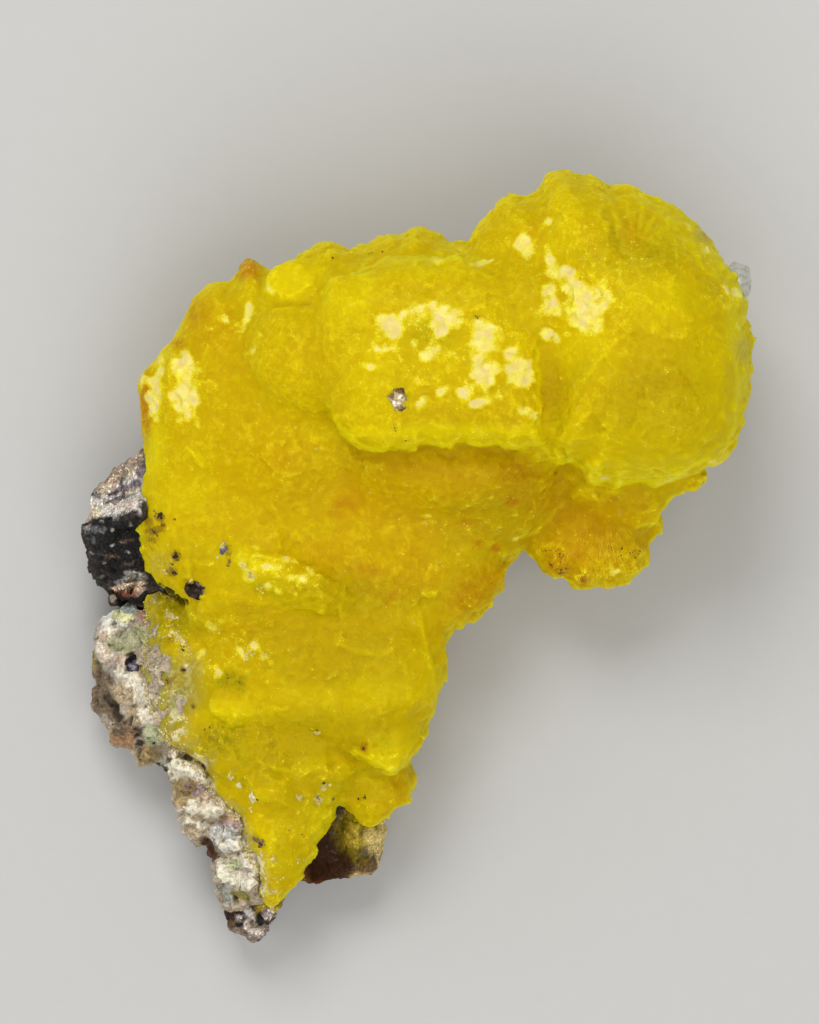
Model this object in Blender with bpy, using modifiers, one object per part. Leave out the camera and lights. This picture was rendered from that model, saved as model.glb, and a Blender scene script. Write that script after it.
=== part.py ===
# Brucite specimen: a lumpy lemon-yellow crust on a dark rock, lying on its back.
# Sizes are in millimetres and become metres where a mesh is made. The crust's front looks up (+Z),
# the rock's broken back is the flat base at z = 0, and the long way of the specimen runs along Y.

import itertools
import math
import random

import bmesh
import bpy
import numpy as np
from mathutils import Matrix, Vector
from mathutils.bvhtree import BVHTree

MM = 0.001
GAP = 0.3  # left between two pieces that touch

CRUST_TRIANGLES = 5200
ROCK_TRIANGLES = 1700
PALE_TRIANGLES = 1000
LOBE_VOXEL = 0.4  # the grain of the mesh that the lobes are fused in
FACE_VOXEL = 0.22  # the finer grain that keeps the edges of the flat faces

# The flat faces of each piece: how far apart their middles are, how far each is tipped (degrees),
# how much it steps in or out, how many times longer than wide it is, and how flat it is pressed.
FACES = {
    "brucite_crust": {"apart": 2.7, "tip": 16, "step": 0.36, "long": 1.5, "flatness": 0.95},
    "matrix_rock": {"apart": 2.7, "tip": 20, "step": 0.45, "long": 1.3, "flatness": 1.0},
    "pale_crust": {"apart": 2.1, "tip": 22, "step": 0.4, "long": 1.0, "flatness": 0.95},
}
STEP_RANGE = (-1.5, 0.6)  # a face's step, inwards and outwards, in shares of "step"
MOST_MOVE = 0.4  # the farthest that a point moves, in shares of "apart"
RIM_CALM = 0.75  # share of the stepping left on upright walls, so that the outlines hold
CREASE_ROUNDS = 14  # how long the creases between the crust's lobes are softened

# A lobe is a dome over a plan outline: its crown's height, the height where it is widest, its
# underside, and how much the dome climbs along X and Y for each millimetre from its centre.
BRUCITE_LOBES = {
    "globe": {
        "centre": (18.4, 18.2), "crown": 28.6, "rim": 17.0, "foot": 5.0, "climb": (0.0, -0.06),
        "square": 2.1,
        "outline": [
            (10.0, 30.2), (10.7, 31.3), (11.9, 32.0), (13.6, 31.5), (14.6, 31.7), (15.9, 30.7), (17.1, 31.0),
            (19.4, 30.0), (22.2, 28.5), (24.7, 25.8), (26.8, 22.8), (27.4, 19.8), (27.8, 17.0), (27.6, 13.2),
            (27.0, 10.9), (26.2, 8.8), (25.1, 7.6), (24.1, 7.8), (22.8, 7.2), (21.2, 6.5), (19.8, 6.2),
            (18.4, 5.8), (17.1, 5.8), (15.9, 6.2), (15.1, 6.8), (14.0, 6.8), (13.0, 7.4), (12.0, 7.5),
            (11.2, 8.7), (10.7, 9.8), (10.3, 12.0), (9.5, 16.5), (9.2, 22.0), (9.3, 26.0),
        ],
    },
    "globe_shoulder": {
        "centre": (10.5, 23.5), "crown": 24.8, "rim": 16.0, "foot": 6.0, "climb": (0.1, -0.1),
        "outline": [
            (4.2, 26.0), (4.9, 27.2), (5.8, 28.3), (7.2, 29.8), (8.8, 30.0), (10.0, 30.2), (12.5, 30.6),
            (16.0, 27.0), (16.0, 19.0), (10.5, 13.0), (6.0, 17.5), (4.6, 22.0),
        ],
    },
    "plate_under_globe": {
        "centre": (18.6, 8.4), "crown": 17.0, "rim": 13.5, "foot": 5.0, "climb": (0.0, 0.05),
        "outline": [
            (24.8, 9.7), (23.9, 6.8), (23.8, 6.0), (23.2, 5.5), (21.9, 5.2), (21.0, 4.7), (20.3, 3.8),
            (20.0, 2.8), (18.6, 2.2), (15.2, 2.8), (12.9, 4.5), (11.6, 7.0), (11.9, 10.5), (15.2, 12.8),
            (20.2, 13.3), (23.6, 12.2),
        ],
    },
    "lower_fan": {
        "centre": (14.8, 2.0), "crown": 14.5, "rim": 10.5, "foot": 4.5, "climb": (0.0, 0.12),
        "outline": [
            (8.9, 0.8), (9.5, 0.0), (10.2, -0.9), (11.4, -1.8), (12.4, -1.6), (13.1, -2.8), (14.2, -2.6),
            (15.4, -2.7), (16.6, -2.5), (17.8, -2.0), (18.7, -1.3), (19.3, -0.6), (19.5, 0.3), (19.2, 1.3),
            (19.4, 3.0), (19.0, 4.7), (16.9, 5.9), (13.6, 6.3), (11.1, 5.5), (9.6, 3.2),
        ],
    },
    "fan_petal": {
        "centre": (19.3, 2.6), "crown": 12.2, "rim": 10.5, "foot": 7.5, "climb": (0.0, 0.0),
        "outline": [
            (20.6, 2.8), (20.3, 1.9), (19.8, 1.3), (19.1, 1.2), (18.2, 2.0), (18.4, 3.4), (19.4, 4.0),
            (20.2, 3.7),
        ],
    },
    "centre_dome": {
        "centre": (1.9, 16.8), "crown": 26.5, "rim": 21.5, "foot": 4.0, "climb": (0.05, -0.12),
        "outline": [
            (-6.8, 11.5), (-6.3, 10.2), (-5.4, 9.4), (-4.1, 8.9), (-2.8, 8.8), (-1.4, 9.2), (-0.2, 9.1),
            (1.8, 9.3), (3.6, 9.0), (5.2, 9.2), (6.9, 8.9), (8.6, 9.0), (9.4, 9.4), (10.3, 9.1), (10.8, 10.5),
            (11.6, 14.7), (11.6, 20.2), (8.2, 23.5), (3.2, 24.9), (-2.7, 24.7), (-7.6, 22.8), (-9.0, 18.8),
            (-8.4, 15.5), (-7.5, 13.0),
        ],
    },
    "top_ridge": {
        "centre": (-2.7, 19.7), "crown": 23.2, "rim": 14.0, "foot": 3.5, "climb": (0.12, -0.1),
        "outline": [
            (-12.1, 23.8), (-11.0, 24.3), (-9.9, 24.8), (-9.5, 25.3), (-8.4, 25.9), (-7.2, 26.2), (-5.6, 25.6),
            (-4.1, 26.1), (-3.1, 26.6), (-1.0, 26.8), (0.2, 27.4), (1.7, 26.8), (3.2, 26.2), (4.2, 26.1),
            (7.2, 25.0), (9.0, 20.3), (8.2, 14.2), (0.2, 10.5), (-7.6, 9.0), (-13.6, 13.7), (-15.4, 19.5),
        ],
    },
    "left_shoulder": {
        "centre": (-13.6, 13.8), "crown": 19.0, "rim": 12.0, "foot": 3.0, "climb": (0.3, 0.0),
        "outline": [
            (-23.2, 13.4), (-23.2, 14.8), (-22.2, 16.0), (-21.2, 16.8), (-20.6, 17.5), (-19.8, 19.2),
            (-19.1, 20.5), (-18.6, 21.5), (-17.8, 22.1), (-17.0, 22.8), (-15.8, 22.8), (-15.2, 23.3),
            (-14.5, 24.5), (-13.9, 24.8), (-12.9, 24.2), (-12.0, 23.8), (-7.8, 22.5), (-3.6, 18.5),
            (-2.2, 13.7), (-3.6, 7.7), (-7.9, 3.5), (-13.9, 0.8), (-18.9, 1.5), (-22.3, 4.8), (-22.5, 7.6),
            (-22.8, 9.7), (-23.1, 11.8),
        ],
    },
    "middle_mass": {
        "centre": (-3.1, 1.8), "crown": 17.6, "rim": 10.0, "foot": 3.0, "climb": (-0.03, 0.05),
        "outline": [
            (8.9, 0.8), (8.3, -0.2), (7.3, -1.1), (6.6, -1.8), (5.8, -2.3), (5.6, -3.5), (5.1, -4.6),
            (4.1, -5.2), (3.0, -6.1), (2.3, -7.4), (0.2, -9.1), (-4.8, -10.3), (-10.6, -9.5), (-16.0, -7.0),
            (-18.9, -2.8), (-19.3, 2.2), (-17.2, 6.3), (-13.1, 9.7), (-7.2, 11.8), (0.2, 12.2), (6.9, 10.9),
            (11.5, 8.8), (11.9, 5.5), (10.7, 3.0),
        ],
    },
    "left_mass": {
        "centre": (-14.9, 0.7), "crown": 17.6, "rim": 11.0, "foot": 3.0, "climb": (0.16, 0.0),
        "outline": [
            (-22.6, 8.8), (-22.8, 6.8), (-23.2, 4.2), (-23.3, 2.2), (-23.0, 0.1), (-22.2, -1.6), (-21.0, -2.8),
            (-19.5, -3.7), (-18.9, -6.2), (-15.6, -8.7), (-10.6, -8.2), (-6.8, -5.3), (-5.6, -0.8),
            (-6.8, 3.8), (-10.2, 7.6), (-14.8, 9.7), (-19.3, 10.1),
        ],
    },
    "lower_mass": {
        "centre": (-7.9, -9.7), "crown": 16.5, "rim": 11.5, "foot": 3.0, "climb": (0.04, 0.12),
        "outline": [
            (2.4, -7.8), (2.2, -9.3), (2.2, -10.5), (1.7, -11.8), (1.4, -13.0), (0.7, -14.2), (0.3, -15.8),
            (-0.4, -16.9), (-1.2, -17.7), (-2.1, -18.1), (-3.2, -17.5), (-4.9, -16.8), (-7.2, -16.2),
            (-10.6, -16.2), (-14.3, -15.8), (-17.7, -14.5), (-18.9, -12.0), (-19.1, -9.1), (-17.7, -6.2),
            (-13.1, -3.7), (-7.2, -2.8), (-1.4, -3.7), (1.8, -5.8),
        ],
    },
    "bottom_mass": {
        "centre": (-12.4, -19.7), "crown": 14.2, "rim": 9.5, "foot": 3.0, "climb": (0.0, 0.14),
        "outline": [
            (-6.0, -19.5), (-6.6, -20.5), (-6.8, -22.0), (-7.9, -23.5), (-8.6, -25.2), (-9.5, -26.2),
            (-10.1, -27.5), (-11.4, -28.7), (-12.6, -29.3), (-13.3, -28.2), (-14.1, -26.2), (-15.4, -23.7),
            (-17.0, -21.3), (-18.8, -19.1), (-20.6, -17.0), (-21.4, -14.9), (-20.2, -12.0), (-16.4, -11.2),
            (-10.6, -12.0), (-5.6, -14.9), (-3.8, -17.4),
        ],
    },
    "lower_right_lobe": {
        "centre": (-3.8, -19.0), "crown": 11.5, "rim": 8.5, "foot": 3.0, "climb": (0.0, 0.14),
        "outline": [
            (-0.5, -17.7), (-0.3, -18.7), (-0.5, -20.0), (-0.9, -20.7), (-1.8, -21.1), (-2.4, -21.5),
            (-3.2, -22.2), (-4.1, -22.8), (-5.1, -22.2), (-6.0, -21.3), (-6.8, -20.3), (-7.7, -18.2),
            (-6.4, -15.8), (-3.5, -15.2), (-1.4, -16.0),
        ],
    },
}

# A stone lobe also has flat broken faces: the way each one looks (turn and tilt from straight up, in
# degrees), and how deep it bites below the lobe's farthest point that way.
ROCK_LOBES = {
    "slab_lower": {
        "centre": (-9.8, -5.5), "crown": 8.0, "rim": 2.5, "foot": -3.0, "climb": (0.0, 0.0),
        "faces": [(200, 50, 2.0), (330, 48, 2.5), (20, 40, 1.5), (250, 12, 1.0)],
        "outline": [
            (-18.8, 7.0), (-19.6, -0.3), (-18.3, -7.0), (-17.9, -13.7), (-16.2, -19.5), (-14.6, -24.5),
            (-12.9, -26.0), (-11.4, -24.6), (-9.4, -20.3), (-6.6, -15.2), (-4.6, -11.0), (-2.9, -6.0),
            (-0.6, -2.8), (0.8, 3.0), (-1.4, 8.0), (-8.1, 10.5), (-14.8, 10.5),
        ],
    },
    "slab_upper": {
        "centre": (-1.9, 12.7), "crown": 8.5, "rim": 2.5, "foot": -3.0, "climb": (0.02, 0.0),
        "faces": [(80, 46, 2.5), (150, 50, 2.0), (20, 42, 2.5), (300, 45, 2.0), (10, 10, 0.8)],
        "outline": [
            (-18.1, 11.0), (-16.6, 15.6), (-13.0, 19.0), (-8.2, 20.8), (-0.8, 21.9), (5.9, 22.9), (11.0, 23.6),
            (14.6, 21.4), (15.6, 16.0), (13.9, 10.5), (9.4, 7.0), (4.4, 3.0), (1.4, -1.0), (-6.4, -1.3),
            (-14.8, 4.3),
        ],
    },
    "dark_lump": {
        "centre": (-22.0, 3.0), "crown": 16.0, "rim": 8.0, "foot": 0.8, "climb": (0.1, 0.0),
        "faces": [(112, 30, 2.2), (268, 58, 2.4), (190, 52, 2.0), (150, 55, 1.5), (230, 40, 1.4), (60, 24, 2.0)],
        "outline": [
            (-22.2, 9.1), (-22.8, 8.4), (-23.9, 7.8), (-25.0, 7.2), (-25.9, 6.4), (-26.5, 5.5), (-27.2, 4.7),
            (-27.8, 3.6), (-27.8, 2.6), (-27.6, 1.6), (-27.5, 0.5), (-27.1, -0.5), (-26.7, -1.6),
            (-26.4, -2.5), (-25.8, -3.0), (-24.3, -3.3), (-21.4, -3.5), (-17.2, -2.8), (-14.8, 1.3),
            (-15.2, 6.3), (-18.1, 8.8),
        ],
    },
    "iron_ledge": {
        "centre": (-23.0, -3.4), "crown": 10.0, "rim": 8.6, "foot": 4.0, "climb": (0.0, 0.0),
        "faces": [(270, 30, 0.5), (200, 40, 0.6)],
        "outline": [(-25.8, -2.6), (-25.9, -3.7), (-25.4, -4.2), (-22.2, -4.3), (-20.2, -3.8), (-20.6, -2.5)],
    },
    "tip": {
        "centre": (-13.6, -29.0), "crown": 9.0, "rim": 5.0, "foot": 0.5, "climb": (0.0, 0.2),
        "faces": [(230, 45, 1.0), (310, 50, 1.2), (270, 25, 0.8), (20, 40, 1.0)],
        "outline": [
            (-16.1, -28.2), (-16.0, -30.1), (-15.6, -30.8), (-14.9, -31.2), (-14.3, -31.6), (-13.9, -32.0),
            (-12.8, -31.8), (-12.4, -31.2), (-11.8, -30.2), (-11.3, -29.1), (-10.8, -26.8), (-12.0, -22.3),
            (-14.6, -22.8),
        ],
    },
    "brown_lump": {
        "centre": (-8.2, -24.2), "crown": 8.5, "rim": 5.0, "foot": 0.8, "climb": (0.0, 0.1),
        "faces": [(250, 48, 1.4), (300, 35, 1.0), (180, 30, 0.8), (30, 40, 1.0)],
        "outline": [
            (-10.2, -27.2), (-9.8, -27.7), (-9.1, -27.6), (-8.5, -27.8), (-7.7, -27.4), (-6.8, -26.9),
            (-5.9, -26.5), (-5.0, -25.3), (-4.8, -22.7), (-6.0, -17.4), (-8.9, -15.6), (-11.9, -18.7),
            (-12.1, -23.7),
        ],
    },
    "olive_lump": {
        "centre": (-4.9, -23.8), "crown": 9.0, "rim": 5.5, "foot": 1.0, "climb": (0.0, 0.0),
        "faces": [(330, 45, 1.2), (20, 35, 0.8), (240, 38, 1.0)],
        "outline": [
            (-6.6, -26.0), (-5.9, -26.6), (-5.2, -26.8), (-4.3, -26.7), (-3.7, -26.0), (-3.2, -25.2),
            (-3.1, -24.3), (-2.7, -23.5), (-2.6, -22.7), (-2.8, -21.9), (-3.6, -19.6), (-6.6, -16.8),
            (-8.6, -19.7), (-7.6, -24.0),
        ],
    },
}

PALE_LOBES = {
    "pale_lump": {
        "centre": (-22.6, -10.8), "crown": 12.6, "rim": 6.5, "foot": 0.8, "climb": (0.42, 0.0),
        "faces": [(165, 50, 2.2), (200, 38, 1.6), (110, 40, 1.2), (240, 52, 1.8), (10, 22, 1.2)],
        "outline": [
            (-25.4, -4.4), (-25.9, -4.9), (-26.3, -5.8), (-26.7, -7.0), (-27.2, -8.2), (-27.4, -8.8),
            (-27.1, -9.7), (-27.1, -11.0), (-27.2, -12.4), (-26.8, -13.2), (-25.8, -14.1), (-25.8, -14.9),
            (-24.9, -15.8), (-23.8, -16.3), (-23.6, -17.1), (-22.9, -17.4), (-22.1, -17.5), (-21.2, -17.8),
            (-18.6, -18.2), (-16.5, -15.8), (-15.9, -12.0), (-15.8, -7.8), (-17.8, -3.6), (-20.4, -4.0),
            (-22.7, -4.4),
        ],
    },
    "chalk_upper": {
        "centre": (-18.3, -20.3), "crown": 12.0, "rim": 7.0, "foot": 1.4, "climb": (0.3, 0.0),
        "faces": [(195, 46, 1.2), (225, 35, 0.8), (90, 30, 0.8)],
        "outline": [
            (-21.6, -17.6), (-20.6, -18.5), (-20.3, -19.5), (-20.2, -20.8), (-19.5, -21.6), (-19.3, -22.6),
            (-18.8, -23.5), (-17.8, -23.9), (-15.0, -24.5), (-13.4, -22.8), (-14.2, -20.3), (-16.1, -16.0),
            (-19.4, -14.7),
        ],
    },
    "chalk_lower": {
        "centre": (-15.0, -25.8), "crown": 11.5, "rim": 6.5, "foot": 1.4, "climb": (0.25, 0.0),
        "faces": [(190, 46, 1.2), (250, 40, 0.8), (120, 30, 0.7)],
        "outline": [
            (-17.8, -23.9), (-17.4, -25.1), (-16.8, -25.8), (-16.9, -26.5), (-16.3, -27.1), (-16.5, -28.0),
            (-16.5, -28.9), (-15.9, -29.3), (-14.8, -29.5), (-12.8, -28.6), (-11.8, -26.6), (-11.9, -24.1),
            (-13.4, -21.0), (-16.8, -21.0),
        ],
    },
}

# Low swellings on the crust: centre, crown's height, and half lengths along their own X, Y and Z
SWELLINGS = [
    {"at": (-10.4, 22.6), "top": 18.4, "half": (3.0, 2.4, 4.4), "turn": 20},
    {"at": (-13.9, 23.0), "top": 15.0, "half": (1.5, 1.9, 4.6), "turn": 0},
    {"at": (-15.0, -12.6), "top": 15.4, "half": (3.0, 2.2, 4.0), "turn": 10},
    {"at": (-10.5, -1.8), "top": 19.6, "half": (6.2, 2.6, 4.0), "turn": -24},
    {"at": (-19.0, 14.6), "top": 16.9, "half": (3.2, 4.2, 5.4), "turn": -10},
    {"at": (-10.0, 10.0), "top": 21.6, "half": (5.0, 4.4, 6.0), "turn": 25},
    {"at": (2.6, -2.2), "top": 16.6, "half": (4.0, 2.9, 4.0), "turn": 35},
    {"at": (-3.0, -10.0), "top": 18.2, "half": (4.2, 3.4, 5.0), "turn": 50},
    {"at": (-12.4, -19.0), "top": 15.2, "half": (3.6, 2.6, 4.0), "turn": -35},
    {"at": (20.6, 12.4), "top": 28.7, "half": (6.6, 6.0, 8.0), "turn": 0},
    {"at": (5.4, 4.6), "top": 19.6, "half": (5.0, 3.0, 5.0), "turn": 20},
    {"at": (9.6, 20.6), "top": 26.4, "half": (5.6, 6.6, 9.0), "turn": 0},
    {"at": (10.2, 13.6), "top": 24.6, "half": (4.0, 6.4, 8.0), "turn": 0},
    {"at": (-8.2, 16.4), "top": 23.6, "half": (7.0, 6.4, 8.0), "turn": -15},
]

# Pebbles set in the crusts: where, their half lengths, and how deep a chip's middle lies
KNOB = {"at": (26.8, 22.9), "middle": 18.5, "half": (1.2, 1.6, 1.3)}
CHIPS = [
    {"at": (-18.2, -2.7), "half": (0.95, 0.85, 0.75), "sunk": 0.35, "on": "brucite_crust"},
    {"at": (-1.4, 13.0), "half": (0.95, 0.85, 0.75), "sunk": 0.4, "on": "brucite_crust"},
    {"at": (-15.8, 0.5), "half": (0.6, 0.75, 0.55), "sunk": 0.25, "on": "brucite_crust"},
    {"at": (-23.5, -8.9), "half": (0.8, 0.65, 0.6), "sunk": 0.25, "on": "pale_crust"},
]
CHIP_FLATS = 6

FINISHES = {
    "brucite": {"colour": (0.76, 0.60, 0.01), "roughness": 0.38},
    "serpentine": {"colour": (0.05, 0.04, 0.035), "roughness": 0.7},
    "chalk": {"colour": (0.52, 0.47, 0.38), "roughness": 0.8},
    "clear": {"colour": (0.72, 0.72, 0.66), "roughness": 0.2},
}


def clear_scene():
    for obj in list(bpy.data.objects):
        bpy.data.objects.remove(obj, do_unlink=True)


def new_collection(name):
    collection = bpy.data.collections.new(name)
    bpy.context.scene.collection.children.link(collection)
    return collection


def new_material(name):
    finish = FINISHES[name]
    material = bpy.data.materials.new(name)
    material.use_nodes = True
    shader = material.node_tree.nodes["Principled BSDF"]
    shader.inputs["Base Color"].default_value = (*finish["colour"], 1.0)
    shader.inputs["Roughness"].default_value = finish["roughness"]
    shader.inputs["Metallic"].default_value = 0.0
    material.diffuse_color = (*finish["colour"], 1.0)
    return material


def new_object(name, bm, collection):
    mesh = bpy.data.meshes.new(name)
    bm.to_mesh(mesh)
    bm.free()
    obj = bpy.data.objects.new(name, mesh)
    collection.objects.link(obj)
    return obj


def outline_reach(centre, outline, angles):
    """How far the outline lies from the centre in each direction."""
    start = np.array(outline) - np.array(centre)
    side = np.roll(start, -1, axis=0) - start
    way = np.stack([np.cos(angles), np.sin(angles)], axis=1)[:, None, :]
    across = way[..., 0] * side[:, 1] - way[..., 1] * side[:, 0]
    across = np.where(np.abs(across) < 1e-9, 1e-9, across)
    reach = (start[:, 0] * side[:, 1] - start[:, 1] * side[:, 0]) / across
    along = (start[:, 0] * way[..., 1] - start[:, 1] * way[..., 0]) / across
    hit = (along >= -1e-6) & (along <= 1 + 1e-6) & (reach > 0)
    return np.where(hit, reach, 0).max(axis=1)


def add_lobe(bm, lobe):
    """A dome over a plan outline, shaped from a ball."""
    square = lobe.get("square", 2.5)
    ball = bmesh.ops.create_icosphere(bm, subdivisions=5, radius=1.0)["verts"]
    unit = np.array([vert.co for vert in ball])
    angles = np.arctan2(unit[:, 1], unit[:, 0])
    flat = np.clip(np.hypot(unit[:, 0], unit[:, 1]), 0, 1)
    steep = np.clip(np.abs(unit[:, 2]), 0, 1)
    out = flat ** (2 / square)
    up = steep ** (2 / square)
    reach = outline_reach(lobe["centre"], lobe["outline"], angles) * out
    east = reach * np.cos(angles)
    north = reach * np.sin(angles)
    height = np.where(unit[:, 2] > 0, lobe["crown"] - lobe["rim"], lobe["rim"] - lobe["foot"])
    level = lobe["rim"] + np.sign(unit[:, 2]) * height * up
    climb = (lobe["climb"][0] * east + lobe["climb"][1] * north) * np.where(unit[:, 2] > 0, up, 0)
    for vert, x, y, z in zip(ball, lobe["centre"][0] + east, lobe["centre"][1] + north, level + climb):
        vert.co = Vector((x, y, z)) * MM
    return ball


def add_swelling(bm, swelling):
    half = swelling["half"]
    place = Matrix.Translation(Vector((*swelling["at"], swelling["top"] - half[2])) * MM)
    turn = Matrix.Rotation(math.radians(swelling["turn"]), 4, "Z")
    size = Matrix.Diagonal((half[0] * MM, half[1] * MM, half[2] * MM, 1))
    bmesh.ops.create_icosphere(bm, subdivisions=4, radius=1.0, matrix=place @ turn @ size)


def press_flat(verts, facing, bite):
    """Breaks a flat face: what stands past its plane is pressed back onto it."""
    limit = max(vert.co.dot(facing) for vert in verts) - bite * MM
    for vert in verts:
        past = vert.co.dot(facing) - limit
        if past > 0:
            vert.co -= facing * past


def direction(turn, tilt):
    turn = math.radians(turn)
    tilt = math.radians(tilt)
    return Vector((math.sin(tilt) * math.cos(turn), math.sin(tilt) * math.sin(turn), math.cos(tilt)))


def add_modifier(obj, kind, **settings):
    modifier = obj.modifiers.new(kind.title(), kind)
    for name, value in settings.items():
        setattr(modifier, name, value)
    return modifier


def settle(obj):
    """Turns an object's modifiers into its mesh."""
    graph = bpy.context.evaluated_depsgraph_get()
    settled = bpy.data.meshes.new_from_object(obj.evaluated_get(graph))
    old = obj.data
    obj.modifiers.clear()
    obj.data = settled
    bpy.data.meshes.remove(old)


def fuse(obj, voxel):
    add_modifier(obj, "REMESH", mode="VOXEL", voxel_size=voxel * MM)
    settle(obj)


def soften_top(obj, rounds):
    """Softens the creases between the lobes from above, and leaves the outlines as they are."""
    upward = obj.vertex_groups.new(name="upward")
    for vert in obj.data.vertices:
        upward.add([vert.index], min(1.0, max(0.0, 1.4 * vert.normal.z)), "REPLACE")
    add_modifier(obj, "SMOOTH", factor=0.5, iterations=rounds, vertex_group="upward")
    settle(obj)
    obj.vertex_groups.clear()


def spread_seeds(points, apart, draw):
    """Picks points at random that lie at least so far from each other."""
    order = list(range(len(points)))
    draw.shuffle(order)
    taken = {}
    picked = []
    for index in order:
        point = points[index]
        cell = tuple((point // apart).astype(int))
        near = [
            taken[key]
            for key in itertools.product(*[(c - 1, c, c + 1) for c in cell])
            if key in taken
        ]
        if all(np.linalg.norm(points[other] - point) >= apart for group in near for other in group):
            taken.setdefault(cell, []).append(index)
            picked.append(index)
    return picked


def cut_faces(obj, seed):
    """Gives a rounded piece flat crystal faces: each patch of it is pressed onto its own plane."""
    style = FACES[obj.name]
    draw = random.Random(seed)
    points = np.array([vert.co for vert in obj.data.vertices]) / MM
    normals = np.array([vert.normal for vert in obj.data.vertices])
    picked = spread_seeds(points, style["apart"], draw)
    middles = points[picked]
    facing = []
    across = []
    for index in picked:
        normal = Vector(normals[index])
        spin = Vector([draw.gauss(0, 1) for _ in range(3)]).cross(normal).normalized()
        tipped = Matrix.Rotation(math.radians(draw.gauss(0, style["tip"] / 1.5)), 3, spin) @ normal
        facing.append(tipped)
        across.append(normal.cross(spin).normalized())
    facing = np.array(facing)
    across = np.array(across)
    steps = np.array([draw.uniform(*STEP_RANGE) * style["step"] for _ in picked])
    nearest = np.empty(len(points), int)
    stretch = style["long"] ** 2 - 1
    for start in range(0, len(points), 4000):
        gap = points[start : start + 4000, None, :] - middles[None, :, :]
        distance = (gap**2).sum(axis=2) + stretch * (gap * across[None]).sum(axis=2) ** 2
        nearest[start : start + 4000] = distance.argmin(axis=1)
    height = ((points - middles[nearest]) * facing[nearest]).sum(axis=1)
    calm = RIM_CALM + (1 - RIM_CALM) * np.clip(np.abs(normals[:, 2]) * 1.5, 0, 1)
    move = (steps[nearest] - style["flatness"] * height) * calm
    most = MOST_MOVE * style["apart"]
    move = np.clip(move, -most, most)
    moved = (points + facing[nearest] * move[:, None]) * MM
    for vert, place in zip(obj.data.vertices, moved):
        vert.co = place


def thin_out(obj, triangles):
    obj.data.calc_loop_triangles()
    share = triangles / len(obj.data.loop_triangles)
    add_modifier(obj, "DECIMATE", ratio=min(1.0, share))
    settle(obj)


def tidy_mesh(obj):
    bm = bmesh.new()
    bm.from_mesh(obj.data)
    bmesh.ops.dissolve_degenerate(bm, edges=bm.edges, dist=1e-6)
    bmesh.ops.triangulate(bm, faces=bm.faces)
    bmesh.ops.recalc_face_normals(bm, faces=bm.faces)
    bm.to_mesh(obj.data)
    bm.free()


def cut_base(obj):
    """Cuts the rock flat at z = 0, where it was broken off."""
    bm = bmesh.new()
    bm.from_mesh(obj.data)
    everything = bm.verts[:] + bm.edges[:] + bm.faces[:]
    bmesh.ops.bisect_plane(bm, geom=everything, plane_co=(0, 0, 0), plane_no=(0, 0, 1), clear_inner=True)
    rim = [edge for edge in bm.edges if edge.is_boundary]
    base = bmesh.ops.holes_fill(bm, edges=rim, sides=0)["faces"]
    bmesh.ops.triangulate(bm, faces=base)
    bmesh.ops.recalc_face_normals(bm, faces=bm.faces)
    bm.to_mesh(obj.data)
    bm.free()


def grown_cutter(obj, cutters):
    """A copy of a piece that stands proud of it by the gap, for cutting its neighbour."""
    cutter = bpy.data.objects.new(obj.name + "_cutter", obj.data.copy())
    cutters.objects.link(cutter)
    cutter.hide_render = True
    cutter.display_type = "WIRE"
    add_modifier(cutter, "DISPLACE", strength=GAP * MM, mid_level=0.0)
    settle(cutter)
    return cutter


def cut_by(obj, cutter):
    add_modifier(obj, "BOOLEAN", operation="DIFFERENCE", object=cutter, solver="EXACT", use_self=True)
    settle(obj)


def largest_body(obj):
    """Keeps the biggest connected body, without the crumbs that a cut leaves."""
    bm = bmesh.new()
    bm.from_mesh(obj.data)
    unseen = set(bm.verts)
    bodies = []
    while unseen:
        front = [unseen.pop()]
        body = set(front)
        while front:
            for edge in front.pop().link_edges:
                for vert in edge.verts:
                    if vert in unseen:
                        unseen.discard(vert)
                        body.add(vert)
                        front.append(vert)
        bodies.append(body)
    bodies.sort(key=len, reverse=True)
    crumbs = [vert for body in bodies[1:] for vert in body]
    bmesh.ops.delete(bm, geom=crumbs, context="VERTS")
    bm.to_mesh(obj.data)
    bm.free()


def make_crust(collection):
    bm = bmesh.new()
    for lobe in BRUCITE_LOBES.values():
        add_lobe(bm, lobe)
    for swelling in SWELLINGS:
        add_swelling(bm, swelling)
    crust = new_object("brucite_crust", bm, collection)
    fuse(crust, LOBE_VOXEL)
    soften_top(crust, CREASE_ROUNDS)
    cut_faces(crust, seed=11)
    fuse(crust, FACE_VOXEL)
    thin_out(crust, CRUST_TRIANGLES)
    tidy_mesh(crust)
    return crust


def make_stone(name, lobes, triangles, collection):
    bm = bmesh.new()
    for lobe in lobes.values():
        verts = add_lobe(bm, lobe)
        for turn, tilt, bite in lobe["faces"]:
            press_flat(verts, direction(turn, tilt), bite)
    stone = new_object(name, bm, collection)
    fuse(stone, LOBE_VOXEL)
    cut_faces(stone, seed=len(lobes))
    fuse(stone, FACE_VOXEL)
    thin_out(stone, triangles)
    tidy_mesh(stone)
    return stone


def make_pebble(name, at, height, half, seed, collection):
    """A small angular chip, from a coarse ball with flats broken on it."""
    draw = random.Random(seed)
    bm = bmesh.new()
    size = Matrix.Diagonal((half[0] * MM, half[1] * MM, half[2] * MM, 1))
    verts = bmesh.ops.create_icosphere(bm, subdivisions=2, radius=1.0, matrix=size)["verts"]
    for _ in range(CHIP_FLATS):
        facing = direction(draw.uniform(0, 360), draw.uniform(0, 70))
        press_flat(verts, facing, draw.uniform(0.1, 0.35) * min(half))
    place = Matrix.Translation(Vector((*at, height)) * MM)
    bmesh.ops.transform(bm, matrix=place, verts=verts)
    return new_object(name, bm, collection)


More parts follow.
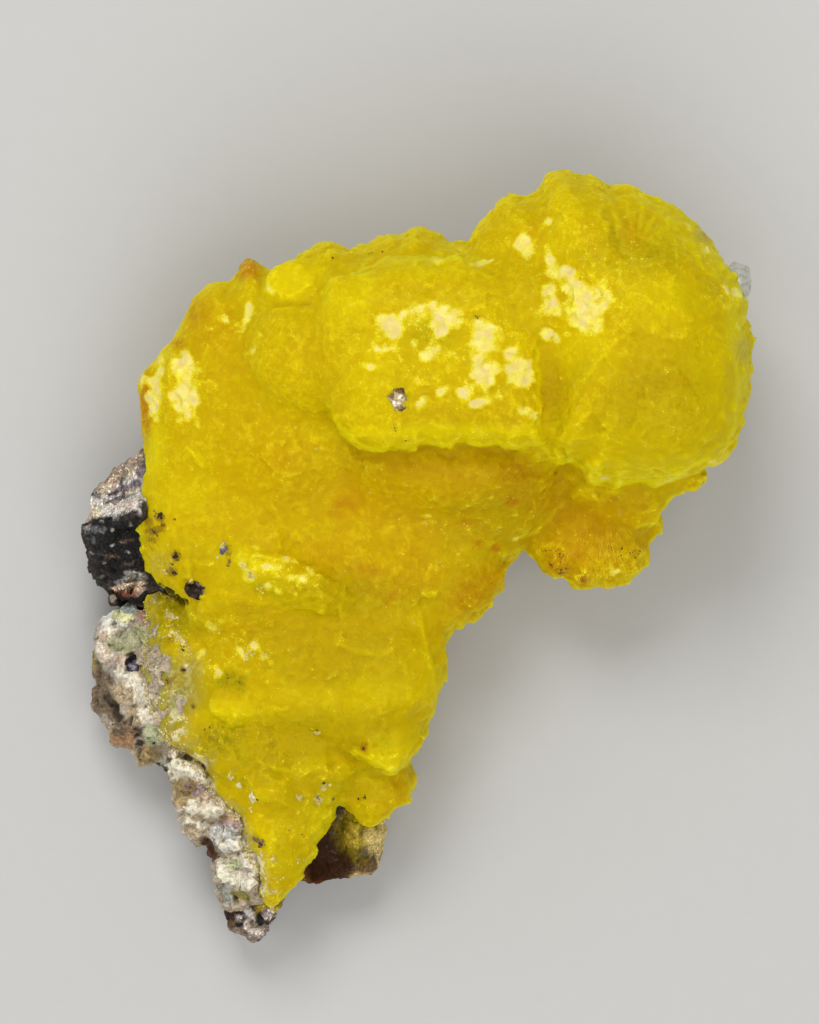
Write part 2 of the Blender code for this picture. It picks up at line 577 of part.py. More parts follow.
def surface_height(obj, at):
    graph = bpy.context.evaluated_depsgraph_get()
    tree = BVHTree.FromObject(obj, graph)
    hit = tree.ray_cast(Vector((*at, 100)) * MM, Vector((0, 0, -1)))[0]
    return hit.z / MM


def centre_on_base(nodes, cutters):
    """Puts the middle of the whole box over the origin; the base is already at z = 0."""
    points = np.array([vert.co for node in nodes for vert in node.data.vertices])
    middle = (points.min(axis=0) + points.max(axis=0)) / 2
    for obj in list(nodes) + list(cutters.objects):
        obj.data.transform(Matrix.Translation((-middle[0], -middle[1], 0)))


def paint(nodes):
    finishes = {name: new_material(name) for name in FINISHES}
    wears = {"brucite_crust": "brucite", "pale_crust": "chalk", "clear_knob": "clear"}
    for node in nodes:
        node.data.materials.clear()
        node.data.materials.append(finishes[wears.get(node.name, "serpentine")])


def main():
    clear_scene()
    specimen = new_collection("brucite_specimen")
    cutters = new_collection("cutters")

    rock = make_stone("matrix_rock", ROCK_LOBES, ROCK_TRIANGLES, specimen)
    cut_base(rock)
    rock_cutter = grown_cutter(rock, cutters)

    pale = make_stone("pale_crust", PALE_LOBES, PALE_TRIANGLES, specimen)
    pale_cutter = grown_cutter(pale, cutters)
    cut_by(pale, rock_cutter)
    largest_body(pale)

    crust = make_crust(specimen)
    cut_by(crust, rock_cutter)
    cut_by(crust, pale_cutter)
    largest_body(crust)

    carriers = {"brucite_crust": crust, "pale_crust": pale}
    nodes = [crust, rock, pale]
    knob = make_pebble("clear_knob", KNOB["at"], KNOB["middle"], KNOB["half"], 7, specimen)
    cut_by(crust, grown_cutter(knob, cutters))
    nodes.append(knob)
    for number, chip in enumerate(CHIPS, start=1):
        carrier = carriers[chip["on"]]
        height = surface_height(carrier, chip["at"]) - chip["sunk"]
        pebble = make_pebble(f"rock_chip_{number}", chip["at"], height, chip["half"], number, specimen)
        cut_by(carrier, grown_cutter(pebble, cutters))
        nodes.append(pebble)

    centre_on_base(nodes, cutters)
    paint(nodes)


main()
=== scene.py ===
# Dresses the brucite specimen: the waxy yellow crust, the rock and chalk that it grew on, and its grains.
# Places are read in pixels of the photo, where 12 pixels are 1 mm, and become millimetres over the frame.
import math

import bmesh
import bpy
import numpy as np
from mathutils import Matrix, Vector, kdtree, noise
from mathutils.bvhtree import BVHTree


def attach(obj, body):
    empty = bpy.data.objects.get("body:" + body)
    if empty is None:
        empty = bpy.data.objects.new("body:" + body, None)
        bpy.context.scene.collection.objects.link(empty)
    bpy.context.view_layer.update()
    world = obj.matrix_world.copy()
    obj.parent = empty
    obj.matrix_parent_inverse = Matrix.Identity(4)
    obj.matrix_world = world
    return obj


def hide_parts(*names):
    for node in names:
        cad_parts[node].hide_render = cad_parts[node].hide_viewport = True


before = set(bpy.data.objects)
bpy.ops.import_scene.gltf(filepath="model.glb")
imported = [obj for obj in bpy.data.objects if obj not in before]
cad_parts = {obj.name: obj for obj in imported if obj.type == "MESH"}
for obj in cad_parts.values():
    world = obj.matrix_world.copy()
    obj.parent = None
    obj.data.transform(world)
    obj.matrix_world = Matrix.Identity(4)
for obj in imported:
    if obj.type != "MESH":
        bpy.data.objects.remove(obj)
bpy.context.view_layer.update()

mm = 0.001
photo = {"left": 418, "top": 559, "perMm": 12}  # the pixel over the origin, and the pixels in a millimetre


def plan(x, y):  # a pixel of the photo as a place seen from above, in millimetres
    return np.array([(x - photo["left"]) / photo["perMm"], (photo["top"] - y) / photo["perMm"]])


def line(text):  # "x,y x,y ..." in photo pixels as plan places
    return np.array([plan(*map(float, pair.split(","))) for pair in text.split()])


def ovals(text):  # "x,y,half length,half width,turn,strength ...": ellipses in photo pixels and degrees
    return [tuple(map(float, oval.split(","))) for oval in text.split()]


def smooth(values, low, high):
    t = np.clip((values - low) / (high - low), 0, 1)
    return t * t * (3 - 2 * t)


def newObject(name, points, faces):
    mesh = bpy.data.meshes.new(name)
    mesh.from_pydata((np.asarray(points) * mm).tolist(), [], np.asarray(faces).tolist())
    obj = bpy.data.objects.new(name, mesh)
    bpy.context.scene.collection.objects.link(obj)
    return obj


def settle(obj):  # turns the modifiers into the mesh
    graph = bpy.context.evaluated_depsgraph_get()
    settled = bpy.data.meshes.new_from_object(obj.evaluated_get(graph))
    obj.modifiers.clear()
    obj.data = settled
    obj.data.name = obj.name


def fuse(obj, voxel):
    remesh = obj.modifiers.new("fuse", "REMESH")
    remesh.mode = "VOXEL"
    remesh.voxel_size = voxel * mm
    settle(obj)


def triangleCount(obj):  # a face of n corners makes n - 2 of them
    return len(obj.data.loops) - 2 * len(obj.data.polygons)


def thin(obj, triangles, mask):  # fewer triangles, taken first where the mask is high
    if triangleCount(obj) <= triangles:
        return
    group = obj.vertex_groups.new(name="thin")
    for level in range(1, 11):
        inside = np.where(np.round(mask * 10) == level)[0]
        group.add(inside.tolist(), level / 10, "REPLACE")
    decimate = obj.modifiers.new("thin", "DECIMATE")
    decimate.ratio = triangles / triangleCount(obj)
    decimate.vertex_group = "thin"
    decimate.vertex_group_factor = 1.0
    settle(obj)
    obj.vertex_groups.clear()


def copyNode(node, name):  # a CAD node's shape, to be sculpted
    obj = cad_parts[node].copy()
    obj.data = obj.data.copy()
    obj.name = obj.data.name = name
    bpy.context.scene.collection.objects.link(obj)
    return obj


def keepColours(obj, colours):  # one colour per point for the material
    rgba = np.concatenate([colours, np.ones((len(colours), 1))], 1)
    attribute = obj.data.attributes.new("painted", "FLOAT_COLOR", "POINT")
    attribute.data.foreach_set("color", rgba.astype(np.float32).ravel())


def unitBall(subdivisions):
    bm = bmesh.new()
    bmesh.ops.create_icosphere(bm, subdivisions=subdivisions, radius=1.0)
    bm.verts.index_update()
    points = np.array([vert.co for vert in bm.verts])
    faces = np.array([[vert.index for vert in face.verts] for face in bm.faces])
    bm.free()
    return points, faces


class Clay:  # a mesh's points in millimetres, while it is shaped
    def __init__(self, obj):
        self.obj = obj
        self.points = self.read(obj.data.vertices, "co") / mm
        edges = np.empty(len(obj.data.edges) * 2, np.int32)
        obj.data.edges.foreach_get("vertices", edges)
        self.edges = edges.reshape(-1, 2)
        self.links = np.bincount(edges, minlength=len(self.points))
        self.normals = self.read(obj.data.vertex_normals, "vector")

    def read(self, where, what, wide=3):
        flat = np.empty(len(where) * wide, np.float32)
        where.foreach_get(what, flat)
        return flat.reshape(-1, wide).astype(float)

    def refresh(self):
        self.obj.data.vertices.foreach_set("co", (self.points * mm).astype(np.float32).ravel())
        self.obj.data.update()
        self.normals = self.read(self.obj.data.vertex_normals, "vector")

    def move(self, amount, along=None):
        self.points = self.points + (self.normals if along is None else along) * np.asarray(amount)[:, None]
        self.refresh()

    def spread(self, values, rounds):  # averages values with their neighbours
        values = np.asarray(values, float)
        flat = values.reshape(len(self.points), -1)
        a, b = self.edges.T
        for _ in range(rounds):
            total = [np.bincount(a, c[b], len(flat)) + np.bincount(b, c[a], len(flat)) for c in flat.T]
            flat = 0.5 * flat + 0.5 * np.stack(total, 1) / self.links[:, None]
        return flat.reshape(values.shape)

    def soften(self, rounds, mask):
        self.points = self.points + (self.spread(self.points, rounds) - self.points) * mask[:, None]
        self.refresh()

    def swell(self, size, seed):  # smooth noise from about -1 to 1, with swells of that size in mm
        shift = seed * 7.31
        places = (self.points / size + (shift, -shift, shift / 2)).tolist()
        return np.array([noise.noise(place) for place in places]) * 1.6

    def ripple(self, style, seed):  # noise of a depth and a width in mm
        deep, wide = style
        return deep * self.swell(wide, seed)

    def upward(self, gain=1.5):  # 1 where a point faces the sky, 0 on walls and beneath
        return np.clip(gain * self.normals[:, 2], 0, 1)

    def bulge(self, rounds):  # how far each point stands out of its surroundings
        return ((self.points - self.spread(self.points, rounds)) * self.normals).sum(1)

    def mark(self, name, values):  # keeps one number per point for the material
        attribute = self.obj.data.attributes.new(name, "FLOAT", "POINT")
        attribute.data.foreach_set("value", np.asarray(values, np.float32))

    def cells(self, apart, seed, stretch=(1, 1, 1)):  # seeds spread evenly, and each point's own seed
        order = np.random.default_rng(seed).permutation(len(self.points))
        keys = np.floor(self.points[order] / apart + seed * 0.37).astype(int)
        picked = order[np.unique(keys, axis=0, return_index=True)[1]]
        tree = kdtree.KDTree(len(picked))
        for number, index in enumerate(picked):
            tree.insert(self.points[index] * stretch, number)
        tree.balance()
        wander = np.stack([self.swell(apart * 0.7, seed + n) for n in (1, 2, 3)], 1) * apart * 0.16
        places = ((self.points + wander) * stretch).tolist()
        return picked, np.array([tree.find(place)[1] for place in places]), (tree, places)

    def facet(self, style, seed, where=None, turnTo=None):  # presses each cell onto its own plane
        picked, own, search = self.cells(style["apart"], seed, style.get("stretch", (1, 1, 1)))
        draw = np.random.default_rng(seed)
        calm = self.spread(self.normals, 12)
        facing = calm[picked] + draw.normal(0, math.tan(math.radians(style["tip"])) / 1.7, (len(picked), 3))
        if turnTo is not None:  # the mask's cells face the mirror direction
            mask, way, loose = turnTo
            turned = way + draw.normal(0, loose, (len(picked), 3))
            facing = np.where(mask[picked][:, None] > 0.45, turned, facing)
        facing /= np.linalg.norm(facing, axis=1)[:, None]
        step = draw.uniform(-1, 0.6, len(picked)) * style["step"]
        height = ((self.points - self.points[picked][own]) * facing[own]).sum(1)
        most = style["apart"] * style.get("most", 0.35)
        amount = np.clip(step[own] - style["flat"] * height, -most, most)
        if where is not None:
            amount = amount * where
        self.points = self.points + facing[own] * amount[:, None]
        self.refresh()
        return own, search

    def besideLine(self, path):  # distance to a line, positive on its left, and the share of it passed
        flat = self.points[:, :2]
        best = np.full(len(flat), 1e9)
        side = np.ones(len(flat))
        passed = np.zeros(len(flat))
        ends = np.concatenate([[0], np.cumsum(np.linalg.norm(np.diff(path, axis=0), axis=1))])
        for number, (start, end) in enumerate(zip(path[:-1], path[1:])):
            way = end - start
            t = np.clip((flat - start) @ way / (way @ way), 0, 1)
            gap = flat - start - t[:, None] * way
            far = np.hypot(*gap.T)
            nearer = far < best
            best = np.where(nearer, far, best)
            side = np.where(nearer, np.sign(way[0] * gap[:, 1] - way[1] * gap[:, 0]), side)
            passed = np.where(nearer, (ends[number] + t * np.linalg.norm(way)) / ends[-1], passed)
        return best * side, passed


def ellipseReach(clay, x, y, long, wide, turn):  # 0 at an ellipse's middle, 1 on its edge
    gap = clay.points[:, :2] - plan(x, y)
    c, s = math.cos(math.radians(turn)), math.sin(math.radians(turn))
    across = gap[:, 0] * c + gap[:, 1] * s
    up = gap[:, 1] * c - gap[:, 0] * s
    return np.hypot(across * photo["perMm"] / long, up * photo["perMm"] / wide)


def patches(clay, spots):  # how strongly soft ellipses cover each point
    best = np.zeros(len(clay.points))
    for *shape, strength in ovals(spots):
        best = np.maximum(best, strength * np.clip(1.5 - ellipseReach(clay, *shape), 0, 1))
    return best


# Domes over plan outlines: crown, widest level and foot in mm, and the dome's climb along X and Y
crust = {
    "ball": 6,
    "lobeVoxel": 0.25,
    "fineVoxel": 0.2,
    "triangles": 195000,
    "square": 2.5,
    "lobes": {
        "globe": {
            "centre": (638, 338), "crown": 28.6, "rim": 17.0, "foot": 5.0, "climb": (0.0, -0.05),
            "square": 2.4,
            "outline": "537,194 545,180 552,174 560,172 570,175 580,178 592,176 599,182 608,188 615,185"
            " 622,184 636,189 650,196 667,204 683,214 692,224 700,230 713,246 727,266 739,282 746,300"
            " 746,318 749,335 751,352 750,375 748,398 745,412 741,425 737,440 731,450 727,456 722,462"
            " 717,465 712,464 707,461 700,463 693,466 688,472 682,475 676,477 670,480 665,484 657,486"
            " 649,484 640,481 632,484 624,486 616,489 611,486 606,482 600,483 595,486 590,485 585,478"
            " 581,469 574,466 570,461 566,463 560,468 553,463 547,456 543,449 545,438 541,412 531,358"
            " 527,292 529,244",
        },
        "globeShoulder": {
            "centre": (543, 274), "crown": 24.8, "rim": 16.0, "foot": 6.0, "climb": (0.1, -0.1),
            "outline": "467,244 470,236 476,230 480,222 487,216 495,206 503,198 512,195 523,196 537,194"
            " 567,189 609,232 609,328 543,400 489,346 472,292",
        },
        "plateUnderGlobe": {
            "centre": (640, 455), "crown": 17.0, "rim": 13.5, "foot": 5.0, "climb": (0.0, 0.05),
            "outline": "715,440 704,474 703,484 699,489 695,490 687,491 680,494 673,496 669,500 666,506"
            " 661,510 657,522 640,530 599,522 572,502 556,472 560,430 599,402 659,396 700,410",
        },
        "lowerFan": {
            "centre": (595, 532), "crown": 14.5, "rim": 10.5, "foot": 4.5, "climb": (0.0, 0.12),
            "outline": "524,546 531,556 539,567 545,573 554,578 566,575 570,583 574,590 587,587 602,588"
            " 616,586 624,583 631,580 641,572 649,563 651,552 647,540 650,520 645,500 620,485 580,480"
            " 550,490 532,518",
        },
        "fanPetal": {
            "centre": (649, 525), "crown": 12.2, "rim": 10.5, "foot": 7.5, "climb": (0.0, 0.0),
            "outline": "664,522 663,528 661,533 655,540 646,542 635,532 638,515 650,508 659,512",
        },
        "centreDome": {
            "centre": (440, 354), "crown": 26.6, "rim": 21.5, "foot": 4.0, "climb": (0.05, -0.05),
            "square": 3.0,
            "outline": "333,423 340,431 347,438 352,444 358,447 366,449 376,452 386,451 392,447 398,448"
            " 404,450 409,447 414,449 419,446 421,444 428,444 435,447 443,448 451,449 456,444 460,443"
            " 465,441 470,445 479,447 489,448 494,446 498,444 503,449 512,450 522,449 527,446 531,444"
            " 536,445 541,447 547,430 556,380 556,314 515,274 455,257 385,260 326,282 309,330 316,370"
            " 327,400",
        },
        "topRidge": {
            "centre": (385, 320), "crown": 23.2, "rim": 14.0, "foot": 3.5, "climb": (0.12, -0.1),
            "outline": "272,270 278,266 285,264 298,258 303,252 316,245 331,242 342,246 350,249 360,246"
            " 368,243 380,237 392,235 405,234 413,228 419,227 430,230 437,234 447,240 455,242 467,243"
            " 503,256 525,312 515,386 419,430 326,448 254,392 232,322",
        },
        "leftShoulder": {
            "centre": (254, 390), "crown": 19.0, "rim": 12.0, "foot": 3.0, "climb": (0.3, 0.0),
            "outline": "139,395 138,386 140,378 145,370 151,364 157,362 163,354 170,346 174,337 179,326"
            " 188,310 191,303 194,298 203,291 208,284 213,282 220,284 227,282 235,276 239,268 243,262"
            " 250,258 256,262 262,266 267,269 273,270 323,286 374,334 391,392 374,464 322,514 250,546"
            " 190,538 149,498 147,465 143,440 140,414",
        },
        "middleMass": {
            "centre": (380, 534), "crown": 17.6, "rim": 10.0, "foot": 3.0, "climb": (-0.03, 0.05),
            "outline": "524,546 517,558 505,569 499,573 496,578 492,581 487,584 485,590 484,598 482,605"
            " 478,611 466,618 453,629 452,635 445,645 419,665 359,680 290,670 225,640 190,590 185,530"
            " 211,480 260,440 331,414 419,410 500,425 555,450 560,490 545,520",
        },
        "peak": {
            "centre": (249, 277), "crown": 16.6, "rim": 11.0, "foot": 5.0, "climb": (0.0, 0.0),
            "square": 1.5,
            "outline": "213,296 222,290 227,283 235,277 239,269 243,262 247,258 251,257 256,262 262,266"
            " 267,269 274,275 282,290 276,306 250,318 226,312",
        },
        "lemonPlate": {
            "centre": (294, 282), "crown": 20.2, "rim": 19.0, "foot": 14.0, "climb": (0.3, -0.28),
            "square": 2.6,
            "outline": "270,274 277,267 285,264 292,261 299,258 306,262 313,266 320,271 319,279 314,286"
            " 306,290 299,295 290,298 280,302 273,298 268,291 267,282",
        },
        "lensPlate": {
            "centre": (235, 711), "crown": 15.3, "rim": 14.7, "foot": 10.0, "climb": (0.1, 0.1),
            "square": 2.4,
            "outline": "206,710 213,716 220,720 226,725 233,727 240,725 245,722 250,720 257,716 261,709"
            " 255,700 245,694 232,691 219,693 209,699",
        },
        "pointedLip": {
            "centre": (384, 752), "crown": 14.7, "rim": 13.4, "foot": 9.0, "climb": (0.0, 0.14),
            "square": 2.4,
            "outline": "352,752 362,758 370,762 376,766 384,771 392,774 398,771 402,765 407,756 412,746"
            " 410,734 396,726 376,728 358,738",
        },
        "veilFlap": {
            "centre": (190, 662), "crown": 13.4, "rim": 9.0, "foot": 6.0, "climb": (0.2, -0.2),
            "square": 1.8,
            "outline": "146,600 152,595 160,592 168,594 176,598 186,604 200,606 226,640 226,720 200,728"
            " 190,722 178,716 170,719 160,717 152,718 147,708 149,696 144,684 146,672 143,661 146,650"
            " 144,638 148,628 144,618 147,608",
        },
        "leftMass": {
            "centre": (238, 548), "crown": 17.6, "rim": 11.0, "foot": 3.0, "climb": (0.16, 0.0),
            "outline": "146,450 144,462 143,474 141,490 139,506 136,518 137,530 139,543 141,555 145,566"
            " 151,575 158,583 165,590 174,596 183,600 190,630 230,660 290,654 335,620 350,566 335,510"
            " 295,465 239,440 185,435",
        },
        "lowerMass": {
            "centre": (322, 672), "crown": 16.5, "rim": 11.5, "foot": 3.0, "climb": (0.04, 0.12),
            "outline": "446,650 444,660 443,668 444,676 443,682 439,690 437,698 437,705 434,712 430,719"
            " 425,726 424,736 421,746 417,753 412,759 408,765 403,768 398,772 392,773 379,766 358,758"
            " 331,750 290,750 245,746 205,730 190,700 188,665 205,630 260,600 331,590 400,600 439,626",
        },
        "bottomMass": {
            "centre": (268, 792), "crown": 14.2, "rim": 9.5, "foot": 3.0, "climb": (0.0, 0.14),
            "outline": "345,790 341,797 340,803 334,806 333,812 335,818 330,823 325,827 325,833 322,838"
            " 316,843 317,850 314,858 308,863 303,870 299,878 296,886 288,893 280,900 273,905 266,908"
            " 261,896 259,874 246,853 240,822 226,808 213,798 208,776 190,754 168,744 157,730 160,712"
            " 175,700 220,690 290,700 350,735 371,765",
        },
        "lowerRightLobe": {
            "centre": (371, 784), "crown": 11.5, "rim": 8.5, "foot": 3.0, "climb": (0.0, 0.14),
            "outline": "411,768 414,774 413,780 413,788 411,796 406,804 400,807 395,809 388,814 384,819"
            " 379,822 373,828 368,830 362,826 356,822 345,812 335,800 325,774 340,746 375,738 400,748",
        },
    },
    # Low swellings: place in pixels, crown in mm, half lengths in mm, turn
    "swellings": [
        ((291, 578), 19.4, (6.2, 2.6, 4.0), -24),
        ((189, 381), 16.9, (3.2, 4.2, 5.4), -10), ((297, 436), 20.1, (7.6, 6.6, 6.0), 25),
        ((448, 582), 15.8, (5.4, 3.9, 4.0), 35), ((381, 676), 17.2, (6.4, 5.0, 5.0), 50),
        ((268, 784), 15.2, (3.6, 2.6, 4.0), -35), ((664, 407), 28.7, (6.6, 6.0, 8.0), 0),
        ((480, 497), 17.6, (7.4, 4.6, 5.0), 20), ((532, 309), 26.4, (5.6, 6.6, 9.0), 0),
        ((539, 393), 24.6, (4.0, 6.4, 8.0), 0), ((319, 359), 23.6, (7.0, 6.4, 8.0), -15),
        ((446, 464), 21.0, (9.4, 4.6, 6.0), 0),
    ],
    "straight": "185,340,62,110,-25,0.9 250,275,26,26,0,1.0",  # where the walls are plane and clean
    "creaseRounds": 8,
    "creaseDeep": 0.04,
    "flowRounds": 110,
    "hollowDeep": 0.15,
    "lipNear": 0.9,  # mm beside a bright ledge that stay sharp
    "lipInside": 0.12,  # mm from a ledge's line to the middle of its lip
    "lipWide": 0.17,
    "litShare": 0.3,  # how much of a facet a glint has to cover to light it up
    "litSeam": 0.06,  # mm between lit facets that stay dull
    "seamGlow": 0.35,
    "ownGlow": 0.66,  # how bright a painted glint is where it lights no facet
    # Ripples: how far they move the surface and how wide their swells are, in mm
    "slow": (0.12, 4.2),
    "quick": (0.05, 1.7),
    "wall": (0.09, 1.1),
    "wallFine": (0.03, 0.55),
    "crumbs": (0.03, 0.6),
    "ledge": (0.1, 0.8),
    "ledgeFine": (0.05, 0.36),
    "flattened": "450,505,110,24,0,0.9 430,270,110,24,0,1.0 330,330,30,60,20,0.8 330,400,26,40,0,0.8"
        " 270,470,90,50,0,0.7 548,380,12,60,0,0.7 440,560,70,60,30,0.7 380,660,60,50,20,0.6"
        " 610,350,60,60,0,0.4",
    # Ledges: the line as walked with its raised side on the left, the rise and drop in mm, how far they
    # fade, and how bright the painted highlight on the lip is
    "ledges": [
        ("322,408 327,414 333,422 340,431 347,438 358,446 376,452 386,451 392,446"
         " 404,449 414,449 421,444 435,446 451,449 456,444 465,441 470,445 489,448"
         " 498,444 503,448 522,448 531,444 540,446 547,453", 0.3, 0.35, 1.3, 1.0),
        ("546,446 542,436 539,424 541,408 538,394 541,380 537,366 539,352 532,334", 0.06, 0.2, 1.4, 0.5),
        ("520,446 532,444 543,449 550,459 558,466 564,463 570,461 575,465 581,469"
         " 587,480 595,485 602,482 610,483 616,488 626,485 636,483 649,483 657,486"
         " 665,484 675,476 688,472 693,466 700,463 707,461 717,465 725,457", 0.3, 0.3, 1.1, 1.0),
        ("714,462 707,466 704,476 701,487 694,491 687,492 678,494 670,496 666,504"
         " 659,513", 0.2, 0.25, 0.9, 0.7),
        ("505,543 511,541 520,539 532,536 541,531 544,526 550,521 554,515 558,511"
         " 564,505 572,500", 0.14, 0.16, 1.4, 0.35),
        ("572,500 580,494 592,490 600,493 609,495 618,494 627,491", 0.1, 0.08, 0.8, 0.6),
        ("577,497 590,497 600,499 607,503", 0.08, 0.06, 0.8, 0.5),
        ("572,502 590,500 604,507 614,520 618,534", 0.06, 0.1, 1.0, 0.15),
        ("206,712 213,716 220,720 226,725 233,728 241,725 246,721 258,716 264,708", 0.1, 0.1, 1.6, 0.2),
        ("345,752 362,757 376,765 385,770 392,774 397,770 402,760", 0.2, 0.3, 1.6, 1.0),
        ("438,704 437,690 434,672 431,655 427,640 424,628 421,617 421,604", 0.14, 0.12, 1.2, 0.5),
        ("738,470 726,452 733,430 737,408 738,385 736,362 732,345", 0.24, 0.16, 0.9, 0.5),
        ("183,447 190,452 196,460 203,470", 0.16, 0.12, 1.2, 0.9),
        ("270,298 279,302 293,297 304,291 312,286 319,274", 0.16, 0.16, 1.2, 0.4),
        ("272,296 267,290 273,280 280,269", 0.16, 0.12, 1.0, 0.8),
        ("420,596 428,599 436,597 440,590", 0.2, 0.18, 0.9, 0.5),
        ("548,445 560,424 570,404 584,384 600,362 614,345 628,334 650,322", 0.1, 0.06, 2.2, 0.2),
        ("318,508 332,511 347,514 358,522 364,534", 0.07, 0.05, 2.0, 0.2),
        ("520,330 512,352 517,374 506,398", 0.1, 0.08, 1.2, 0.2),
        ("355,365 372,372 392,374 410,368", 0.1, 0.08, 1.4, 0.3),
        ("232,600 262,606 288,604 310,596 330,600", 0.1, 0.08, 1.6, 0.3),
        ("330,640 352,652 378,656 398,650", 0.1, 0.08, 1.6, 0.3),
        ("250,760 276,770 300,776 322,770", 0.1, 0.1, 1.4, 0.3),
        ("574,256 590,264 604,272 624,274 644,270 664,262", 0.08, 0.06, 1.4, 0.1),
        ("606,190 618,203 640,208 660,217 676,232 690,252 700,270 716,284", 0.1, 0.08, 1.0, 0.35),
        ("604,186 608,204 613,220 616,236", 0.1, 0.1, 0.8, 0.3),
        ("640,330 664,340 690,338 712,326", 0.08, 0.08, 1.8, 0.2),
        ("470,244 486,222 500,204 512,197 537,196", 0.1, 0.1, 1.0, 0.3),
    ],
    # Fans: where their ribs start, ribs in a radian, how deep they are, and where they show
    "fans": [
        ((634, 254), 8, 0.07, "634,228,46,34,0,1.0"),
        ((598, 498), 16, 0.1, "592,552,62,36,0,1.0"),
        ((676, 330), 6, 0.12, "724,350,24,90,0,0.9"),
        ((395, 330), 5, 0.1, "395,262,90,26,0,0.7"),
    ],
    "fansInColour": (0, 1),
    "crackDark": 0.15,
    # Narrow cuts: the line, how deep and how wide in mm. The first is the open crack
    "grooves": [
        ("134,576 150,582 163,590 176,597 190,605", 0.9, 0.2),
        ("270,305 285,305 300,304 312,303", 0.25, 0.22),
        ("566,463 563,456 560,448", 0.4, 0.22),
        ("609,222 614,236 618,250 624,262", 0.12, 0.24),
    ],
    "cells": {"apart": 1.9, "tip": 6, "step": 0.05, "flat": 0.4, "most": 0.2},
    "sparkCells": {"apart": 1.0, "tip": 14, "step": 0.1, "flat": 0.95},
    "crumb": {"apart": 0.75, "tip": 10, "step": 0.045, "flat": 0.5, "most": 0.15},
    "wallCells": {"apart": 1.3, "tip": 10, "step": 0.1, "flat": 0.8, "stretch": (1, 1, 0.35)},
    "wallChips": {"apart": 0.6, "tip": 12, "step": 0.04, "flat": 0.8, "stretch": (1, 1, 0.5), "most": 0.15},
    "lipChips": {"apart": 0.6, "tip": 13, "step": 0.05, "flat": 0.9, "most": 0.1},
}

